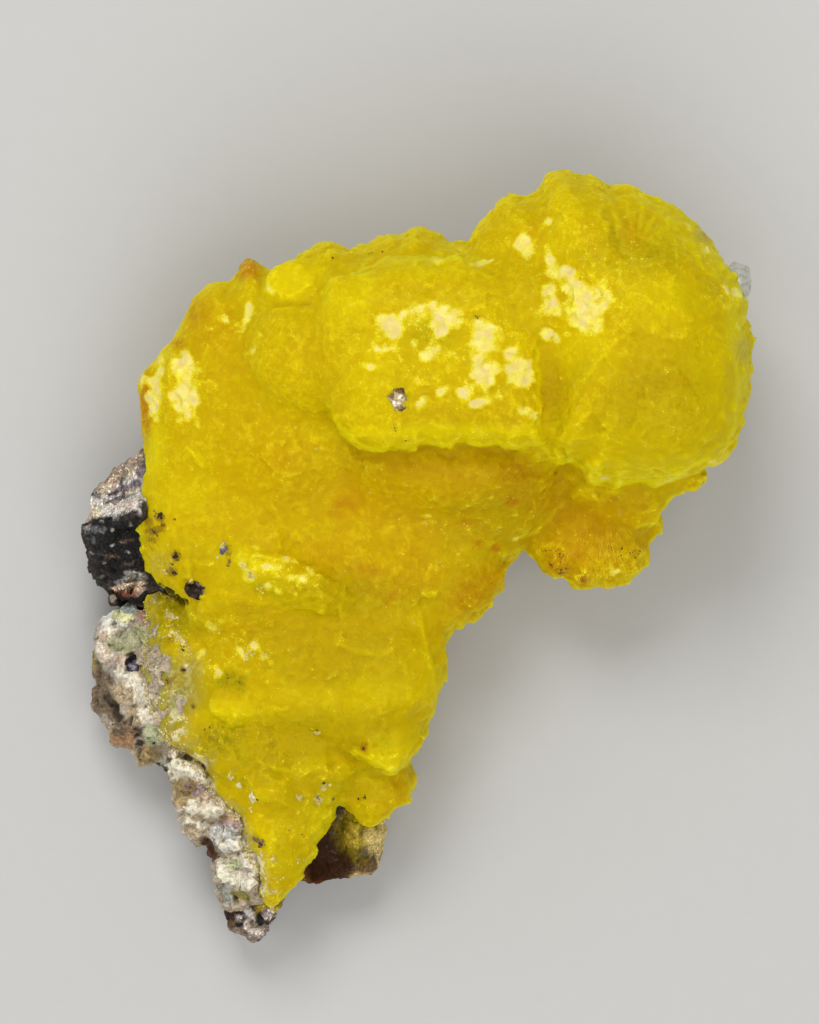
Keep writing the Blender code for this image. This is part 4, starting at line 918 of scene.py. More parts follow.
def bruciteMaterial():
    material, shader, start = newMaterial("waxyBrucite", waxy["sockets"])
    place = start.place()
    broad, middle = start.noise(place, 5.0, 3), start.noise(place, 1.3, 3, 0.6)
    fine, patchy = start.noise(place, 0.25, 2), start.noise(place, 0.9, 4, 0.65)
    bunch, foil = start.noise(place, 0.7, 3, 0.6), start.noise(place, 0.16, 2)
    crumb, sugar = start.cells(place, 0.3), start.cells(place, 0.17)
    ridge, deep = start.mark("ridge"), start.mark("broad")
    grainy = (crumb.part(2) - 0.5) * 0.75 + (fine - 0.5) * 1.0 + (sugar.part(0) - 0.5) * 0.6
    vivid = start.mark("sparkle") * (bunch - 0.5) * 1.6
    # painted highlight on ridges and lips, where light comes through the thin crust, over random tone
    lift = ridge * 4.0 + deep * 0.9 + (middle - 0.5) * 1.3 + (patchy - 0.5) * 0.9
    lift = (lift + grainy * 0.5 + vivid).clamp()
    fibre, cracks, glows = 0.0, 0.0, 0.0
    for number in crust["fansInColour"]:
        (x, y), ribs = crust["fans"][number][:2]
        away = start.vector("SUBTRACT", place, (*plan(x, y).tolist(), 0.0))
        turn = away.part(1).maths("ARCTAN2", away.part(1), away.part(0))
        ray = start.node("ShaderNodeCombineXYZ", sockets={0: turn * (ribs * 2.5), 1: away.length() * 1.4})
        shown, dash = start.mark(f"fan{number}"), start.noise(ray, 1.0, 2)
        fibre = fibre + shown * (dash - 0.5) * 0.7
        cracks, glows = cracks + shown * dash.step(0.57, 0.66), glows + shown * dash.step(0.42, 0.34)
    # painted shade in creases and hollows, and the amber marks, over random tone
    shadeAndTone = ridge * -2.4 + deep * -0.8 + (broad - 0.5) * 1.8 - (patchy - 0.5) * 0.7
    shadeAndTone = (shadeAndTone + start.mark("amberAndShade") * (0.6 + middle * 0.9) + grainy * 0.5 + fibre - vivid).clamp()
    ripe = (middle * 1.2 + broad * 0.8 + grainy * 0.7 - 0.7).clamp()
    colour = mixColour(ripe, waxy["honey"], waxy["yellow"])
    colour = mixColour(shadeAndTone * 0.75, colour, waxy["amberAndShade"])
    colour = mixColour((start.mark("lemon") * 0.55 + lift * 0.5).clamp(), colour, waxy["lemon"])
    colour = mixColour((start.mark("olive") * (0.4 + middle + grainy)).clamp(), colour, waxy["olive"])
    veil = mixColour((patchy + grainy * 0.3).step(0.38, 0.66), waxy["veil"], waxy["veilPale"])
    colour = mixColour((start.mark("veil") * (patchy * 2.4 - 0.3)).clamp(), colour, veil)
    dusty = (start.mark("dusty") * 1.1 + (patchy - 0.5) * 0.9 - 0.1).clamp()
    colour = mixColour(dusty * 0.9, colour, mixColour(middle.step(0.4, 0.6), waxy["veil"], waxy["dusty"]))
    chalkEdge = (start.mark("chalky") + (patchy - 0.5) * 1.6 + grainy * 0.5).step(0.5, 0.7)
    chalkTone = mixColour(middle.step(0.35, 0.6), waxy["chalkDark"], waxy["chalkLight"])
    colour = mixColour(chalkEdge, colour, chalkTone)
    stain = (start.mark("stain") * 1.1 + (fine - 0.5) * 1.3).step(0.25, 0.8)
    colour = mixColour(stain * 0.7, colour, waxy["stain"])
    bare = (1.0 - start.mark("dusty") * 1.4 - start.mark("veil") * 1.4).clamp()
    # painted highlight along the lips and on the steep walls at the rim
    lip = start.mark("lip") * (0.3 + fine * 1.2)
    rimAndLipHighlight = (lip + start.mark("rimHighlight") * (0.3 + bunch * 0.7)).clamp()
    colour = mixColour(rimAndLipHighlight * bare * 0.85, colour, waxy["lemon"])
    colour = mixColour((start.mark("orange") * (0.4 + middle + grainy)).clamp(), colour, waxy["orange"])
    cluster = (broad - 0.5) * 0.6 + (bunch - 0.5) * 0.9
    # painted highlights: tiny bright flecks on ridges and lips
    highlightFleck = (sugar.part(1) + ridge * 2.0 + cluster + lip * 0.2).step(1.12, 1.22)
    colour = mixColour(highlightFleck * bare * 0.45, colour, waxy["highlightFleck"])
    pit = (sugar.part(2) + (patchy - 0.5) * 0.9).step(1.1, 1.2)
    colour = mixColour(pit * 0.45, colour, waxy["pit"])
    crackle = start.mark("crackle")
    colour = mixColour((cracks * crackle).clamp() * 0.5, colour, waxy["pit"])
    colour = mixColour((glows * crackle).clamp() * 0.35, colour, waxy["gold"])
    # painted highlights: tiny golden glints, thickest where marked as sparkle and on ridges
    gold = (foil + start.mark("sparkle") * 0.13 + (bunch - 0.5) * 0.6 + ridge * 1.2).step(0.7, 0.86)
    colour = mixColour(gold * bare * 0.6, colour, waxy["gold"])
    # painted highlights: the glints' cream and rosy colours with a yellow halo round them
    warp = start.node("ShaderNodeCombineXYZ", sockets={0: fine * 0.3, 1: foil * 0.3})
    clump = start.cells(start.vector("ADD", place, warp), 0.8, "Distance")
    flash = start.mark("glint") * 1.1 + (0.4 - clump) * 0.55 + (foil - 0.5) * 0.7 + (bunch - 0.5) * 0.5
    glint, halo = flash.step(0.42, 0.8), flash.step(0.15, 0.5)
    core = (flash + (middle - 0.5) * 1.5).step(0.6, 1.1)
    colour = mixColour(halo * 0.5, colour, waxy["halo"])
    colour = mixColour(glint * 0.9, colour, mixColour(core, waxy["glint"], waxy["rosyGlint"]))
    colour = mixColour((start.mark("crack") * 1.5).clamp() * 0.92, colour, waxy["crack"])
    start.join(colour, shader, "Base Color")
    start.join(0.45 + (middle - 0.5) * 0.2, shader, "Roughness")
    start.join((glint * 0.35 + lift * 0.05).clamp(), shader, "Coat Weight")
    start.join(start.bump((fine - 0.5) * 0.05 + crumb.tilt(place) * 0.24), shader, "Normal")
    return material


def seen(colour):  # a colour as a screen shows it, for a surface under this light
    return np.array([(part / 255) ** 2.2 for part in colour])


def paint(clay, settings):  # lays strokes over the ground colour, each with a ragged edge
    colour = np.tile(seen(settings["ground"]), (len(clay.points), 1))
    ragged = 0.28 * clay.swell(0.9, 31) + 0.2 * clay.swell(0.35, 32)
    covered = np.zeros(len(clay.points))
    for name, strokes in settings["strokes"]:
        ink = seen(settings["inks"][name])
        for x, y, long, wide, turn in ovals(strokes):
            reach = ellipseReach(clay, x, y, long, wide, turn)
            amount = smooth(1.12 - reach + ragged * min(1, 14 / wide), 0, 0.3)
            colour += (ink - colour) * amount[:, None]
            covered = np.maximum(covered, smooth(reach, 1.7, 1.2))
    calm = np.clip(patches(clay, settings.get("calm", "")), 0, 1)[:, None]
    colour += (clay.spread(colour, 16) - colour) * calm
    keepColours(clay.obj, colour)
    return covered


# Strokes are ellipses in photo pixels: x, y, half length, half width, turn; inks are as seen in the photo
rock = {
    "voxel": 0.2,
    "triangles": 190000,
    "cells": {"apart": 2.4, "tip": 12, "step": 0.12, "flat": 0.5},
    "chips": {"apart": 0.8, "tip": 20, "step": 0.12, "flat": 0.85},
    "ground": (64, 58, 52),
    "inks": {
        "black": (30, 27, 26), "char": (52, 46, 42), "slate": (96, 96, 98), "grey": (140, 136, 130),
        "mauve": (122, 110, 116), "tan": (196, 170, 146), "cream": (226, 212, 182), "milk": (214, 206, 196),
        "rust": (112, 62, 40), "chocolate": (58, 32, 8), "sienna": (104, 54, 14), "earth": (84, 68, 52),
        "olive": (172, 148, 48), "moss": (112, 96, 14), "straw": (214, 190, 116), "buff": (114, 86, 48),
        "sand": (200, 170, 112), "shell": (214, 198, 184), "drab": (142, 126, 110),
    },
    "strokes": [
        ("char", "120,545,46,60,0"),
        ("milk", "96,506,26,14,14 122,500,22,16,14 133,484,14,16,0 108,488,14,12,40"),
        ("cream", "92,512,10,7,20 128,492,12,3,24 112,502,8,3,15"),
        ("drab", "124,466,34,12,36 100,484,14,7,45 140,452,12,10,0"),
        ("tan", "112,482,16,5,36 132,460,10,3,40 86,516,6,8,0"),
        ("cream", "133,472,12,4,36 104,490,8,4,40"),
        ("mauve", "122,488,20,4,22 134,484,9,5,22 113,500,14,2,18 141,472,7,8,30"),
        ("shell", "126,505,12,5,12"),
        ("grey", "88,530,5,10,0 123,498,14,1.6,20"),
        ("black", "115,535,30,17,8 120,562,26,16,5 100,521,14,4,6 136,540,9,22,0"),
        ("slate", "98,529,7,4,0 93,540,2,4,0"),
        ("earth", "126,541,9,1.6,10 110,556,9,1.4,-6 128,564,7,1.6,10"),
        ("grey", "101,521,2.6,1.2,0 130,525,1.6,1.6,0 112,530,2,2,0 128,552,1.6,1.2,0 104,563,2,1.4,0"
            " 111,546,1.2,1,0 120,542,1,1,0 90,553,2,1,0"),
        ("grey", "134,576,10,3.4,-20 122,581,9,2.4,10 142,576,4,3,0 102,576,3,2,0"),
        ("milk", "137,574,4,1.6,-20 126,578,4,1.2,0"),
        ("tan", "127,586,17,3.4,8 140,588,8,2,-8"),
        ("rust", "128,594,15,4,3"),
        ("black", "130,601,20,4.4,0 118,598,5,5,0 142,596,6,6,0"),
        # the gap and the brown slope beside the chalk
        ("chocolate", "163,775,9,18,-28 209,850,8,16,-30 190,815,6,20,-35"),
        # the tip
        ("chocolate", "240,915,18,14,0"),
        ("drab", "252,930,22,16,0"),
        ("olive", "268,908,16,10,30 243,898,16,6,20"),
        ("black", "235,908,8,6,20 262,919,7,9,-20 238,926,6,3,20"),
        ("mauve", "265,914,5,4,0 244,917,4,4,0"),
        ("milk", "248,914,5,8,20 238,919,4,3,0"),
        ("buff", "246,934,5,2,10 231,925,4,4,0"),
        ("shell", "254,934,8,4,0 270,914,3,8,-20 246,926,3,6,10"),
        # the recess and the lumps at the bottom right
        ("chocolate", "326,858,34,40,0"),
        ("sienna", "318,888,20,6,20 306,878,5,10,0"),
        ("olive", "358,832,24,22,0 374,826,18,24,0"),
        ("moss", "342,832,6,18,-15 352,856,14,6,-20 362,862,10,6,0"),
        ("straw", "384,838,5,24,5 374,848,8,9,0 370,836,7,8,0"),
        ("buff", "366,872,16,8,10 299,882,8,14,-20"),
        ("sand", "379,862,3,12,20 362,877,14,2.6,10"),
        ("chocolate", "338,866,14,14,30 326,870,12,14,0 320,838,10,10,30"),
        ("black", "361,835,2,3,0"),
    ],
    "calm": "348,842,50,30,0,0.55 320,872,26,16,0,0.7",
    "streaked": "368,862,16,18,0,1.0 299,882,9,15,-20,1.0",
    "banded": "115,490,40,30,14,1.0 115,545,40,40,0,0.5 130,588,24,8,0,0.8",
}
chalk = {
    "voxel": 0.13,
    "triangles": 170000,
    "cells": {"apart": 1.5, "tip": 22, "step": 0.2, "flat": 0.9},
    "chips": {"apart": 0.5, "tip": 18, "step": 0.06, "flat": 0.85},
    "ground": (172, 156, 132),
    "inks": {
        "white": (228, 216, 192), "bone": (246, 242, 224), "lemon": (236, 230, 170), "sky": (150, 162, 152),
        "pink": (206, 182, 158), "dusk": (150, 116, 98), "stone": (168, 158, 144), "green": (156, 156, 112),
        "olive": (136, 124, 62), "brown": (116, 98, 76), "dark": (64, 52, 36), "peach": (168, 130, 92),
        "butter": (180, 160, 128), "mist": (176, 172, 136), "mint": (188, 192, 150),
        "cream": (240, 228, 198), "ochre": (170, 146, 100), "mauve": (160, 136, 132), "ice": (210, 208, 200),
        "umber": (84, 52, 26), "ash": (172, 172, 158),
    },
    "strokes": [
        ("stone", "110,640,24,30,0 120,700,26,50,30"),
        ("bone", "110,618,12,10,0 122,612,10,6,0 104,634,7,12,0"),
        ("lemon", "122,617,12,6,-20"),
        ("sky", "130,611,8,4,0 120,608,8,3,0"),
        ("dusk", "143,614,8,12,0"),
        ("pink", "104,645,10,16,0 120,660,12,6,20"),
        ("green", "124,646,15,9,0 140,634,7,12,20"),
        ("white", "108,630,10,4,-10 99,648,4,8,20 108,657,6,4,0"),
        ("mist", "126,640,14,8,-20 112,642,9,5,0"),
        ("olive", "92,663,6,11,10"),
        ("brown", "104,694,14,28,20 128,730,14,12,-30 97,668,4,5,0"),
        ("brown", "93,704,6,14,10 103,683,6,5,0"),
        ("dark", "112,704,5,12,40 121,719,8,5,-40 104,698,2.4,4,0 134,734,5,7,-40"),
        ("butter", "126,690,14,16,-50 138,712,14,12,-50"),
        ("white", "132,682,12,9,-50 141,698,9,9,-50 146,716,9,9,-50 119,673,7,6,-40"),
        ("butter", "118,698,4,16,40 131,716,4,14,45"),
        ("peach", "121,739,15,11,-25"),
        ("brown", "117,733,8,4,0"),
        ("ochre", "144,757,11,10,-10"),
        ("mint", "153,737,9,12,20"),
        ("dark", "153,744,2,2,0 138,744,4,4,0 163,772,9,18,-28"),
        ("ash", "164,762,4,6,0"),
        ("white", "177,755,7,6,0"),
        ("cream", "190,772,20,11,-12 176,770,8,12,0"),
        ("white", "186,768,10,5,-10 203,779,6,6,0"),
        ("ochre", "190,790,18,10,-10 180,804,8,10,0"),
        ("mauve", "200,788,6,4,0 186,786,3,3,0 196,794,5,3,0"),
        ("pink", "203,800,8,5,0 177,812,5,10,0"),
        ("cream", "204,810,24,8,-8 192,824,12,14,0"),
        ("white", "194,809,9,4,0 202,827,5,5,0 215,812,8,3,-10"),
        ("butter", "192,832,10,6,-20 197,819,8,4,0"),
        ("mauve", "231,824,13,8,-10 234,817,6,4,0"),
        ("peach", "226,818,7,4,0"),
        ("ice", "226,840,19,12,-10 216,834,8,8,0"),
        ("white", "222,843,10,5,0 240,846,7,6,0"),
        ("umber", "208,850,7,17,24"),
        ("cream", "236,872,22,18,-12"),
        ("white", "246,882,12,8,-20 221,868,7,6,0 242,862,10,5,0 252,872,3,10,0"),
        ("mint", "234,866,8,5,0"),
        ("mauve", "258,844,6,7,0 245,870,4,2,0"),
        ("ash", "227,894,8,11,0"),
        ("olive", "241,897,10,5,-20"),
    ],
    "streaked": "",
    "lumps": [
        ((188, 768), 12.5, (1.7, 0.9, 2.6), -12), ((203, 779), 12.5, (0.8, 0.9, 2.6), 0),
        ((177, 756), 11.8, (0.8, 0.7, 2.2), 0), ((196, 808), 12.0, (2.0, 0.9, 2.6), -10),
        ((218, 810), 12.4, (1.2, 0.6, 2.6), -20), ((232, 824), 12.4, (1.1, 0.8, 2.6), -30),
        ((232, 842), 12.2, (1.4, 1.0, 2.6), -10), ((248, 862), 12.3, (1.0, 1.4, 2.6), 10),
        ((250, 884), 11.8, (0.9, 1.0, 2.6), 0), ((230, 872), 11.2, (1.6, 1.4, 2.6), 0),
        ((200, 792), 11.6, (1.2, 1.0, 2.6), 0), ((238, 888), 10.4, (1.2, 0.8, 2.4), 0),
        ((121, 739), 6.4, (1.2, 0.85, 1.6), -25), ((144, 757), 7.6, (0.85, 0.8, 1.8), -10),
        ((111, 600), 8.6, (0.34, 0.5, 1.2), 0), ((227, 896), 7.6, (0.7, 1.0, 1.6), 0),
    ],
}


def addLumps(obj, lumps):  # place in pixels, crown and half lengths in mm, turn
    bm = bmesh.new()
    bm.from_mesh(obj.data)
    for (x, y), top, half, turn in lumps:
        place = Matrix.Translation((*(plan(x, y) * mm), (top - half[2]) * mm))
        size = Matrix.Diagonal((*(mm * part for part in half), 1))
        shape = place @ Matrix.Rotation(math.radians(turn), 4, "Z") @ size
        bmesh.ops.create_icosphere(bm, subdivisions=4, radius=1.0, matrix=shape)
    bm.to_mesh(obj.data)
    bm.free()


# What the rock, the chalk and the chips share; the ripples are depth and width in mm
stone = {
    "free": (0.02, 0.3),  # mm over the floor in which the shaping fades in
    "softRounds": 4,
    "calmRounds": 20,
    "slow": (0.16, 1.8),
    "crumbs": (0.04, 0.3),
    "pitSize": 0.9,
    "pitDeep": 0.3,
}


def makeStone(name, node, settings, seed):
    obj = copyNode(node, name)
    addLumps(obj, settings.get("lumps", []))
    fuse(obj, settings["voxel"])
    clay = Clay(obj)
    middle = clay.points.mean(0)
    clay.points = middle + (clay.points - middle) * settings.get("grow", (1, 1, 1))
    clay.refresh()
    free = smooth(clay.points[:, 2], *stone["free"])
    clay.soften(stone["softRounds"], free)
    calm = np.clip(patches(clay, settings.get("calm", "")), 0, 1)
    clay.soften(stone["calmRounds"], free * calm)
    clay.mark("calm", calm)
    rough = free * (1 - 0.8 * calm)
    clay.move(clay.ripple(stone["slow"], seed) * free)
    clay.facet(settings["cells"], seed + 1, where=rough)
    clay.facet(settings["chips"], seed + 2, where=rough)
    pits = smooth(clay.swell(stone["pitSize"], seed + 3), 0.5, 0.9)
    clay.move((clay.ripple(stone["crumbs"], seed + 4) - stone["pitDeep"] * pits) * rough)
    clay.points[:, 2] = np.maximum(clay.points[:, 2], 0)
    clay.refresh()
    covered = paint(clay, settings)
    # how far points stand out, from which the material paints light on ridges and shade in hollows
    clay.mark("ridge", clay.bulge(8))
    clay.mark("streaked", patches(clay, settings["streaked"]))
    clay.mark("banded", patches(clay, settings.get("banded", "")))
    plain = 1 - covered * smooth(clay.normals[:, 2], -0.4, 0)
    thin(obj, settings["triangles"], np.clip(plain, 0.1, 1))
    print(name + ":", triangleCount(obj), "triangles")
    return obj


chipCut = {"apart": 0.55, "tip": 22, "step": 0.1, "flat": 0.9}
chipChip = {"apart": 0.25, "tip": 25, "step": 0.04, "flat": 0.8}
chips = [
    {
        "ground": (48, 34, 26),
        "inks": {"mauve": (116, 94, 90), "white": (186, 168, 158), "cream": (176, 150, 80)},
        "strokes": [
            ("mauve", "199,582,5,3,-25 206,592,3,3,0"),
            ("white", "203,585,2.4,1.2,-30"),
            ("cream", "191,580,3,3,0"),
        ],
    },
    {
        "ground": (150, 126, 84),
        "inks": {"cream": (206, 186, 144), "dark": (116, 88, 56), "white": (222, 208, 190)},
        "strokes": [
            ("cream", "398,401,8,8,0"),
            # the dark crescents at the bead's edges are painted shade
            ("dark", "403,391,8,3.5,-15 406,411,6,4,10 392,396,2,4,0"),
            ("white", "396,404,4,3,0 400,397,2,2,0"),
        ],
    },
    {
        "ground": (104, 100, 122),
        "inks": {"cream": (226, 212, 120), "mauve": (140, 112, 110)},
        "strokes": [
            ("cream", "222,546,3,3,0"),
            ("mauve", "228,556,4,3,0"),
        ],
    },
    {
        "ground": (36, 31, 31),
        "inks": {"mauve": (120, 108, 124), "grey": (150, 140, 146)},
        "strokes": [
            ("mauve", "135,666,7,5,10"),
            ("grey", "132,668,3,2,0 139,664,2,2,0"),
        ],
    },
]
chipGrowth = [(1.3, 1.25, 1.15), (1.25, 1.25, 1.2), (1.3, 1.4, 1.2), (1.15, 1.15, 1.15)]
chipShare = {"voxel": 0.07, "triangles": 12000, "cells": chipCut, "chips": chipChip, "streaked": ""}
for settings, grow in zip(chips, chipGrowth):
    settings.update(chipShare, grow=grow)


knob = {
    "voxel": 0.08,
    "softRounds": 6,
    "cells": {"apart": 1.0, "tip": 14, "step": 0.08, "flat": 0.9},
    "sockets": {"Transmission Weight": 0.4, "IOR": 1.5, "Roughness": 0.2, "Coat Weight": 0.6},
    "clear": (0.72, 0.74, 0.70),
    "cloudy": (0.52, 0.52, 0.44),
}


def makeKnob():
    obj = copyNode("clear_knob", "clear_crystal")
    fuse(obj, knob["voxel"])
    clay = Clay(obj)
    clay.soften(knob["softRounds"], np.ones(len(clay.points)))
    clay.facet(knob["cells"], 95)
    return obj


def knobMaterial():
    material, shader, start = newMaterial("clearCrystal", knob["sockets"])
    place = start.place()
    cloud = start.noise(place, 0.5, 3).step(0.45, 0.7)
    start.join(mixColour(cloud, knob["clear"], knob["cloudy"]), shader, "Base Color")
    start.join(start.bump((start.noise(place, 0.35, 2) - 0.5) * 0.08), shader, "Normal")
    return material


# Specks set in the crust: x, y, spread in pixels, how many, their size in mm, and their ink
specks = {
    "inks": {
        "dark": (48, 30, 22), "brown": (96, 58, 26), "mauve": (128, 104, 70), "rose": (214, 188, 98),
        "white": (232, 218, 172), "cream": (228, 206, 110), "olive": (110, 96, 10), "orange": (196, 110, 10),
        "stone": (186, 168, 126), "veil": (160, 148, 76),
    },
    "places": "160,515,4,9,0.16,dark 158,514,4,5,0.12,mauve 175,519,1,2,0.13,brown 148,517,4,3,0.1,olive"
        " 155,533,6,8,0.12,brown 162,526,3,4,0.12,brown 176,556,4,10,0.16,dark 178,560,3,4,0.12,brown"
        " 172,564,2,3,0.1,dark 170,572,4,6,0.15,mauve 175,573,3,4,0.14,dark 165,572,3,4,0.13,cream"
        " 229,561,2,4,0.13,mauve 228,566,2,3,0.1,brown 192,580,3,4,0.14,cream 243,563,4,6,0.2,cream"
        " 251,575,5,8,0.2,rose 395,428,3,3,0.1,olive 406,441,2,3,0.1,brown 477,319,2,3,0.1,dark"
        " 333,259,3,3,0.1,brown 371,254,4,3,0.1,brown 382,253,2,2,0.09,brown 318,732,4,8,0.18,rose"
        " 316,729,2,2,0.12,dark 364,748,2,5,0.13,brown 324,788,4,8,0.18,rose 323,783,2,3,0.11,dark"
        " 318,800,6,14,0.19,rose 316,797,4,5,0.13,mauve 333,799,3,5,0.12,mauve 299,797,5,6,0.15,cream"
        " 358,799,1,2,0.09,dark 365,798,3,4,0.11,brown 252,795,4,8,0.17,white 257,800,2,3,0.12,dark"
        " 251,809,3,5,0.14,cream 231,776,4,5,0.15,cream 239,787,3,6,0.16,white 183,670,3,6,0.14,dark"
        " 169,681,5,6,0.1,brown 193,707,1,3,0.1,brown 169,615,5,12,0.18,rose 176,618,3,5,0.15,white"
        " 174,635,7,12,0.15,cream 183,644,3,6,0.15,cream 182,646,1,2,0.1,dark 183,650,1,2,0.1,dark"
        " 259,842,6,12,0.2,mauve 261,845,4,6,0.16,brown 273,860,5,9,0.2,rose 273,893,5,8,0.18,rose"
        " 262,893,4,4,0.14,cream 551,565,3,6,0.1,brown 563,571,5,8,0.1,brown 560,556,7,9,0.09,brown"
        " 546,552,5,5,0.09,brown 583,580,3,5,0.12,orange 619,556,7,7,0.09,brown 634,552,7,8,0.09,brown"
        " 611,548,6,4,0.09,olive 228,678,6,4,0.09,olive 240,683,3,3,0.09,olive 303,836,4,2,0.09,brown"
        " 289,831,2,2,0.09,brown 209,728,5,4,0.09,olive 300,862,6,6,0.12,cream 279,880,8,8,0.13,cream"
        " 246,855,6,9,0.14,white 206,655,7,6,0.13,cream 249,655,7,12,0.14,cream 265,656,5,7,0.14,cream"
        " 213,628,4,5,0.13,cream 220,633,3,4,0.12,cream 262,590,6,8,0.13,cream 160,700,8,8,0.13,cream"
        " 155,670,8,8,0.13,white 163,735,8,12,0.14,cream",
}
# Crumbs strewn along a line: the line, how many, spread in pixels, sizes in mm, inks
seams = [
    ("146,602 144,640 146,660 144,684 149,700 153,716", 260, 3.5, (0.06, 0.16),
     ["white", "rose", "stone", "veil"]),
    ("157,728 168,744 190,754 207,776 212,797 226,808 240,822 246,853 259,874 261,896", 420, 4.5,
     (0.06, 0.17), ["white", "cream", "white", "rose", "veil"]),
    ("148,598 160,592 172,600", 60, 4, (0.06, 0.14), ["stone", "veil", "cream"]),
    ("165,612 178,640 190,652", 60, 8, (0.05, 0.12), ["cream", "white"]),
    ("160,735 175,750 190,765", 90, 8, (0.06, 0.15), ["cream", "veil", "white"]),
]
grains = {
    "chalk": {"many": 600, "size": (0.05, 0.13)},
    "rock": {"many": 160, "size": (0.05, 0.1)},
    "lowest": 3.0,  # mm above the floor
    "sockets": {"Specular IOR Level": 0.25, "Coat Weight": 0.1, "Coat Roughness": 0.2},
}


def makeGrain(draw, size):  # one small broken grain
    points, faces = unitBall(1)
    points = points * draw.uniform(0.6, 1.1, 3)
    for _ in range(4):
        way = draw.normal(size=3)
        way /= np.linalg.norm(way)
        points = points - np.outer(np.maximum(points @ way - draw.uniform(0.3, 0.6), 0), way)
    return points * size, faces


def joinGrains(name, grains):  # grains of (place, size, colour) as one mesh
    draw = np.random.default_rng(len(grains))
    points, faces, colours = [], [], []
    for place, size, colour in grains:
        shape, own = makeGrain(draw, size)
        faces.append(own + len(shape) * len(points))
        points.append(shape + place)
        colours += [seen(colour) * draw.uniform(0.75, 1.15)] * len(shape)
    obj = newObject(name, np.concatenate(points), np.concatenate(faces))
    keepColours(obj, np.array(colours))
    return obj


def makeSpecks(*surfaces):
    trees = [BVHTree.FromObject(surface, bpy.context.evaluated_depsgraph_get()) for surface in surfaces]
    draw = np.random.default_rng(17)
    found = []

    def onTop(at):
        hits = [tree.ray_cast(Vector((*(at * mm), 1)), Vector((0, 0, -1)))[0] for tree in trees]
        return max(filter(None, hits), key=lambda hit: hit.z, default=None)

    for *numbers, ink in (speck.split(",") for speck in specks["places"].split()):
        x, y, spread, many, size = map(float, numbers)
        for _ in range(int(many)):
            at = plan(x, y) + draw.normal(0, 0.38 * spread / photo["perMm"], 2)
            hit = onTop(at)
            if hit:
                own = size * draw.uniform(0.8, 1.6)
                found.append((np.array(hit) / mm - (0, 0, 0.35 * own), own, specks["inks"][ink]))
    for path, many, spread, sizes, inks in seams:
        way = line(path)
        for _ in range(many):
            number = draw.integers(0, len(way) - 1)
            at = way[number] + (way[number + 1] - way[number]) * draw.random()
            hit = onTop(at + draw.normal(0, 0.5 * spread / photo["perMm"], 2))
            own, ink = draw.uniform(*sizes), inks[draw.integers(0, len(inks))]
            if hit:
                found.append((np.array(hit) / mm - (0, 0, 0.3 * own), own, specks["inks"][ink]))
    return joinGrains("crust_specks", found)


def makeGrains(name, surface, settings, seed):  # loose grains in the colour of what they lie on
    draw = np.random.default_rng(seed)
    clay = Clay(surface)
    paints = np.empty(len(clay.points) * 4, np.float32)
    surface.data.attributes["painted"].data.foreach_get("color", paints)
    paints = 255 * paints.reshape(-1, 4)[:, :3] ** (1 / 2.2)
    calm = clay.read(surface.data.attributes["calm"].data, "value", 1)[:, 0]
    upper = np.where((clay.normals[:, 2] > -0.1) & (clay.points[:, 2] > grains["lowest"]) & (calm < 0.1))[0]
    picked = draw.choice(upper, settings["many"], replace=False)
    sizes = draw.uniform(*settings["size"], len(picked))
    tones = draw.uniform(0.8, 1.2, len(picked))
    found = []
    for index, size, tone in zip(picked, sizes, tones):
        found.append((clay.points[index], size, np.clip(paints[index] * tone, 0, 250)))
    return joinGrains(name, found)


def grainMaterial():
    material, shader, start = newMaterial("mineralGrain", grains["sockets"])
    painted = start.mark("painted", "Color")
    fine = start.noise(start.place(), 0.08, 2)
    start.join(tinted(painted, 0.7 + fine * 0.6), shader, "Base Color")
    start.join(0.35 + fine * 0.3, shader, "Roughness")
    return material


stony = {
    "darkRock": {
        "sockets": {"Specular IOR Level": 0.2, "Coat Roughness": 0.14},
        "grain": 0.14, "speck": 1.4, "hole": 0.6, "specks": 0.93, "contrast": 1.0, "rough": 0.62, "bump": 0.1,
    },
    "chalkyCrust": {
        "sockets": {
            "Specular IOR Level": 0.4, "Coat Roughness": 0.15,
            "Subsurface Weight": 0.5, "Subsurface Radius": (1.0, 0.8, 0.6), "Subsurface Scale": 0.0004,
        },
        "grain": 0.13, "speck": 0.3, "hole": 0.4, "specks": 0.88, "contrast": 0.5, "rough": 0.7, "bump": 0.06,
    },
}


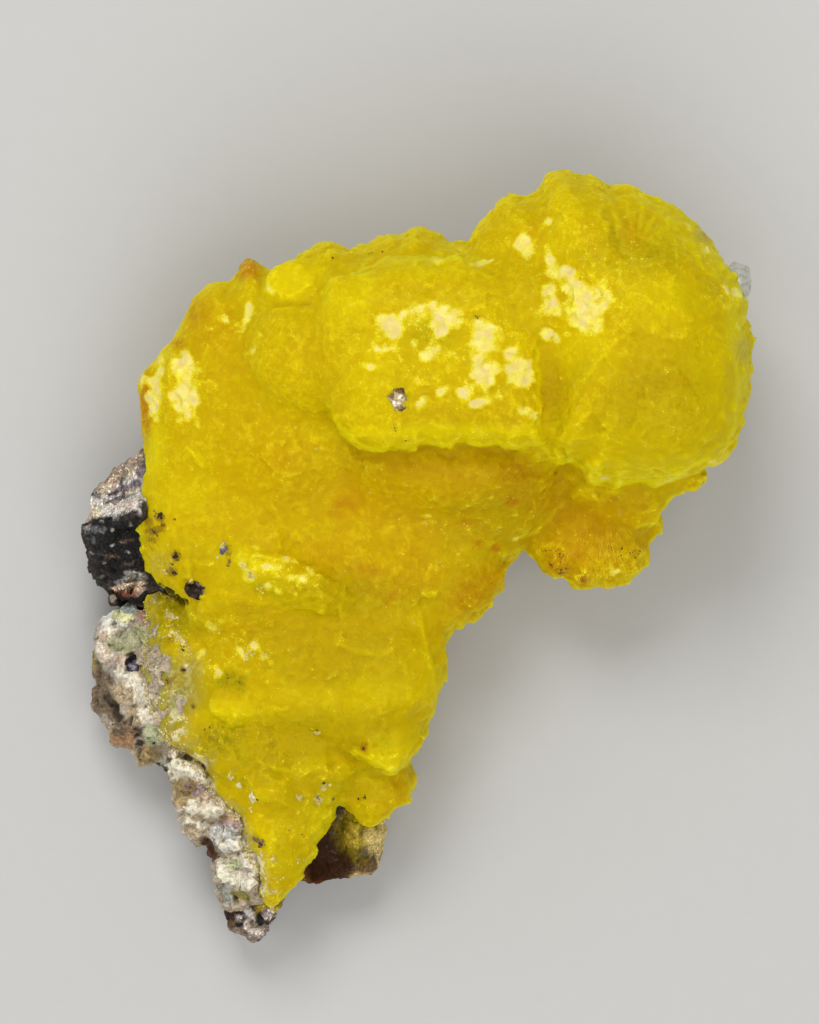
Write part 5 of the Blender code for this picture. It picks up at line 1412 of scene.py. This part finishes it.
def stoneMaterial(name):
    settings = stony[name]
    material, shader, start = newMaterial(name, settings["sockets"])
    place = start.place()
    painted = start.mark("painted", "Color")
    grains = start.cells(place, settings["grain"])
    cloud, fine = start.noise(place, 0.7, 4, 0.65), start.noise(place, settings["grain"] * 0.6, 2)
    stretched = start.vector("MULTIPLY", place, (1.0, 0.16, 0.4))
    turned = {"Vector": place, "Angle": math.radians(-20)}
    band = start.node("ShaderNodeVectorRotate", {"rotation_type": "Z_AXIS"}, turned)
    band = start.noise(start.vector("MULTIPLY", band, (0.3, 1.0, 1.0)), 0.2, 3)
    streak = start.mark("streaked") * (start.noise(stretched, 0.12, 2) - 0.5)
    streak = streak + start.mark("banded") * (band - 0.5) * 0.6
    lively = settings["contrast"] * (1.0 - start.mark("calm") * 0.6)
    mottle = (grains.part(0) - 0.5) * 0.9 + (cloud - 0.5) * 1.5 + (fine - 0.5) * 1.2 + streak * 2.0
    # random mottling, with painted light on ridges and painted shade in hollows
    tone = 1.0 + lively * mottle + start.mark("ridge") * 3.0
    colour = tinted(painted, tone.clampTo(0.2, 1.7))
    speck = grains.part(1).step(settings["specks"], settings["specks"] + 0.02)
    colour = tinted(colour, 1 + speck * settings["speck"] * (1.0 - start.mark("calm")))
    hole = (cloud + (fine - 0.5) * 0.4).step(0.34, 0.26)
    colour = tinted(colour, 1 - hole * settings["hole"])
    start.join(colour, shader, "Base Color")
    start.join(settings["rough"] + (fine - 0.5) * 0.3, shader, "Roughness")
    start.join(grains.part(2).step(0.8, 0.84) * 0.6 * (1.0 - start.mark("calm")), shader, "Coat Weight")
    tilt = start.cells(place, settings["grain"] * 1.6).tilt(place)
    height = (tilt * 0.6) * (1.0 - start.mark("calm") * 0.6) + (fine - 0.5) * settings["bump"] + streak * 0.15
    start.join(start.bump(height), shader, "Normal")
    return material


def dress(obj, node, material):  # stands for a node, and takes a finish
    obj.data.materials.clear()
    obj.data.materials.append(material)
    obj.data.polygons.foreach_set("use_smooth", np.ones(len(obj.data.polygons), bool))
    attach(obj, "root")
    if node:
        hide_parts(node)


makeStudio()
print("studio: camera, lights and floor are up")
dress(makeCrust(), "brucite_crust", bruciteMaterial())
crustSurface = bpy.data.objects["crust_surface"]
rockLook, chalkLook = stoneMaterial("darkRock"), stoneMaterial("chalkyCrust")
rockSurface = makeStone("rock_surface", "matrix_rock", rock, 50)
chalkSurface = makeStone("chalk_surface", "pale_crust", chalk, 70)
dress(rockSurface, "matrix_rock", rockLook)
dress(chalkSurface, "pale_crust", chalkLook)
for number, settings in enumerate(chips, 1):
    chip = makeStone(f"chip_{number}", f"rock_chip_{number}", settings, 90 + number)
    dress(chip, f"rock_chip_{number}", rockLook)
dress(makeKnob(), "clear_knob", knobMaterial())
grainLook = grainMaterial()
dress(makeSpecks(crustSurface, chalkSurface), None, grainLook)
dress(makeGrains("chalk_grains", chalkSurface, grains["chalk"], 5), None, grainLook)
dress(makeGrains("rock_grains", rockSurface, grains["rock"], 6), None, grainLook)
print("grains: scattered")
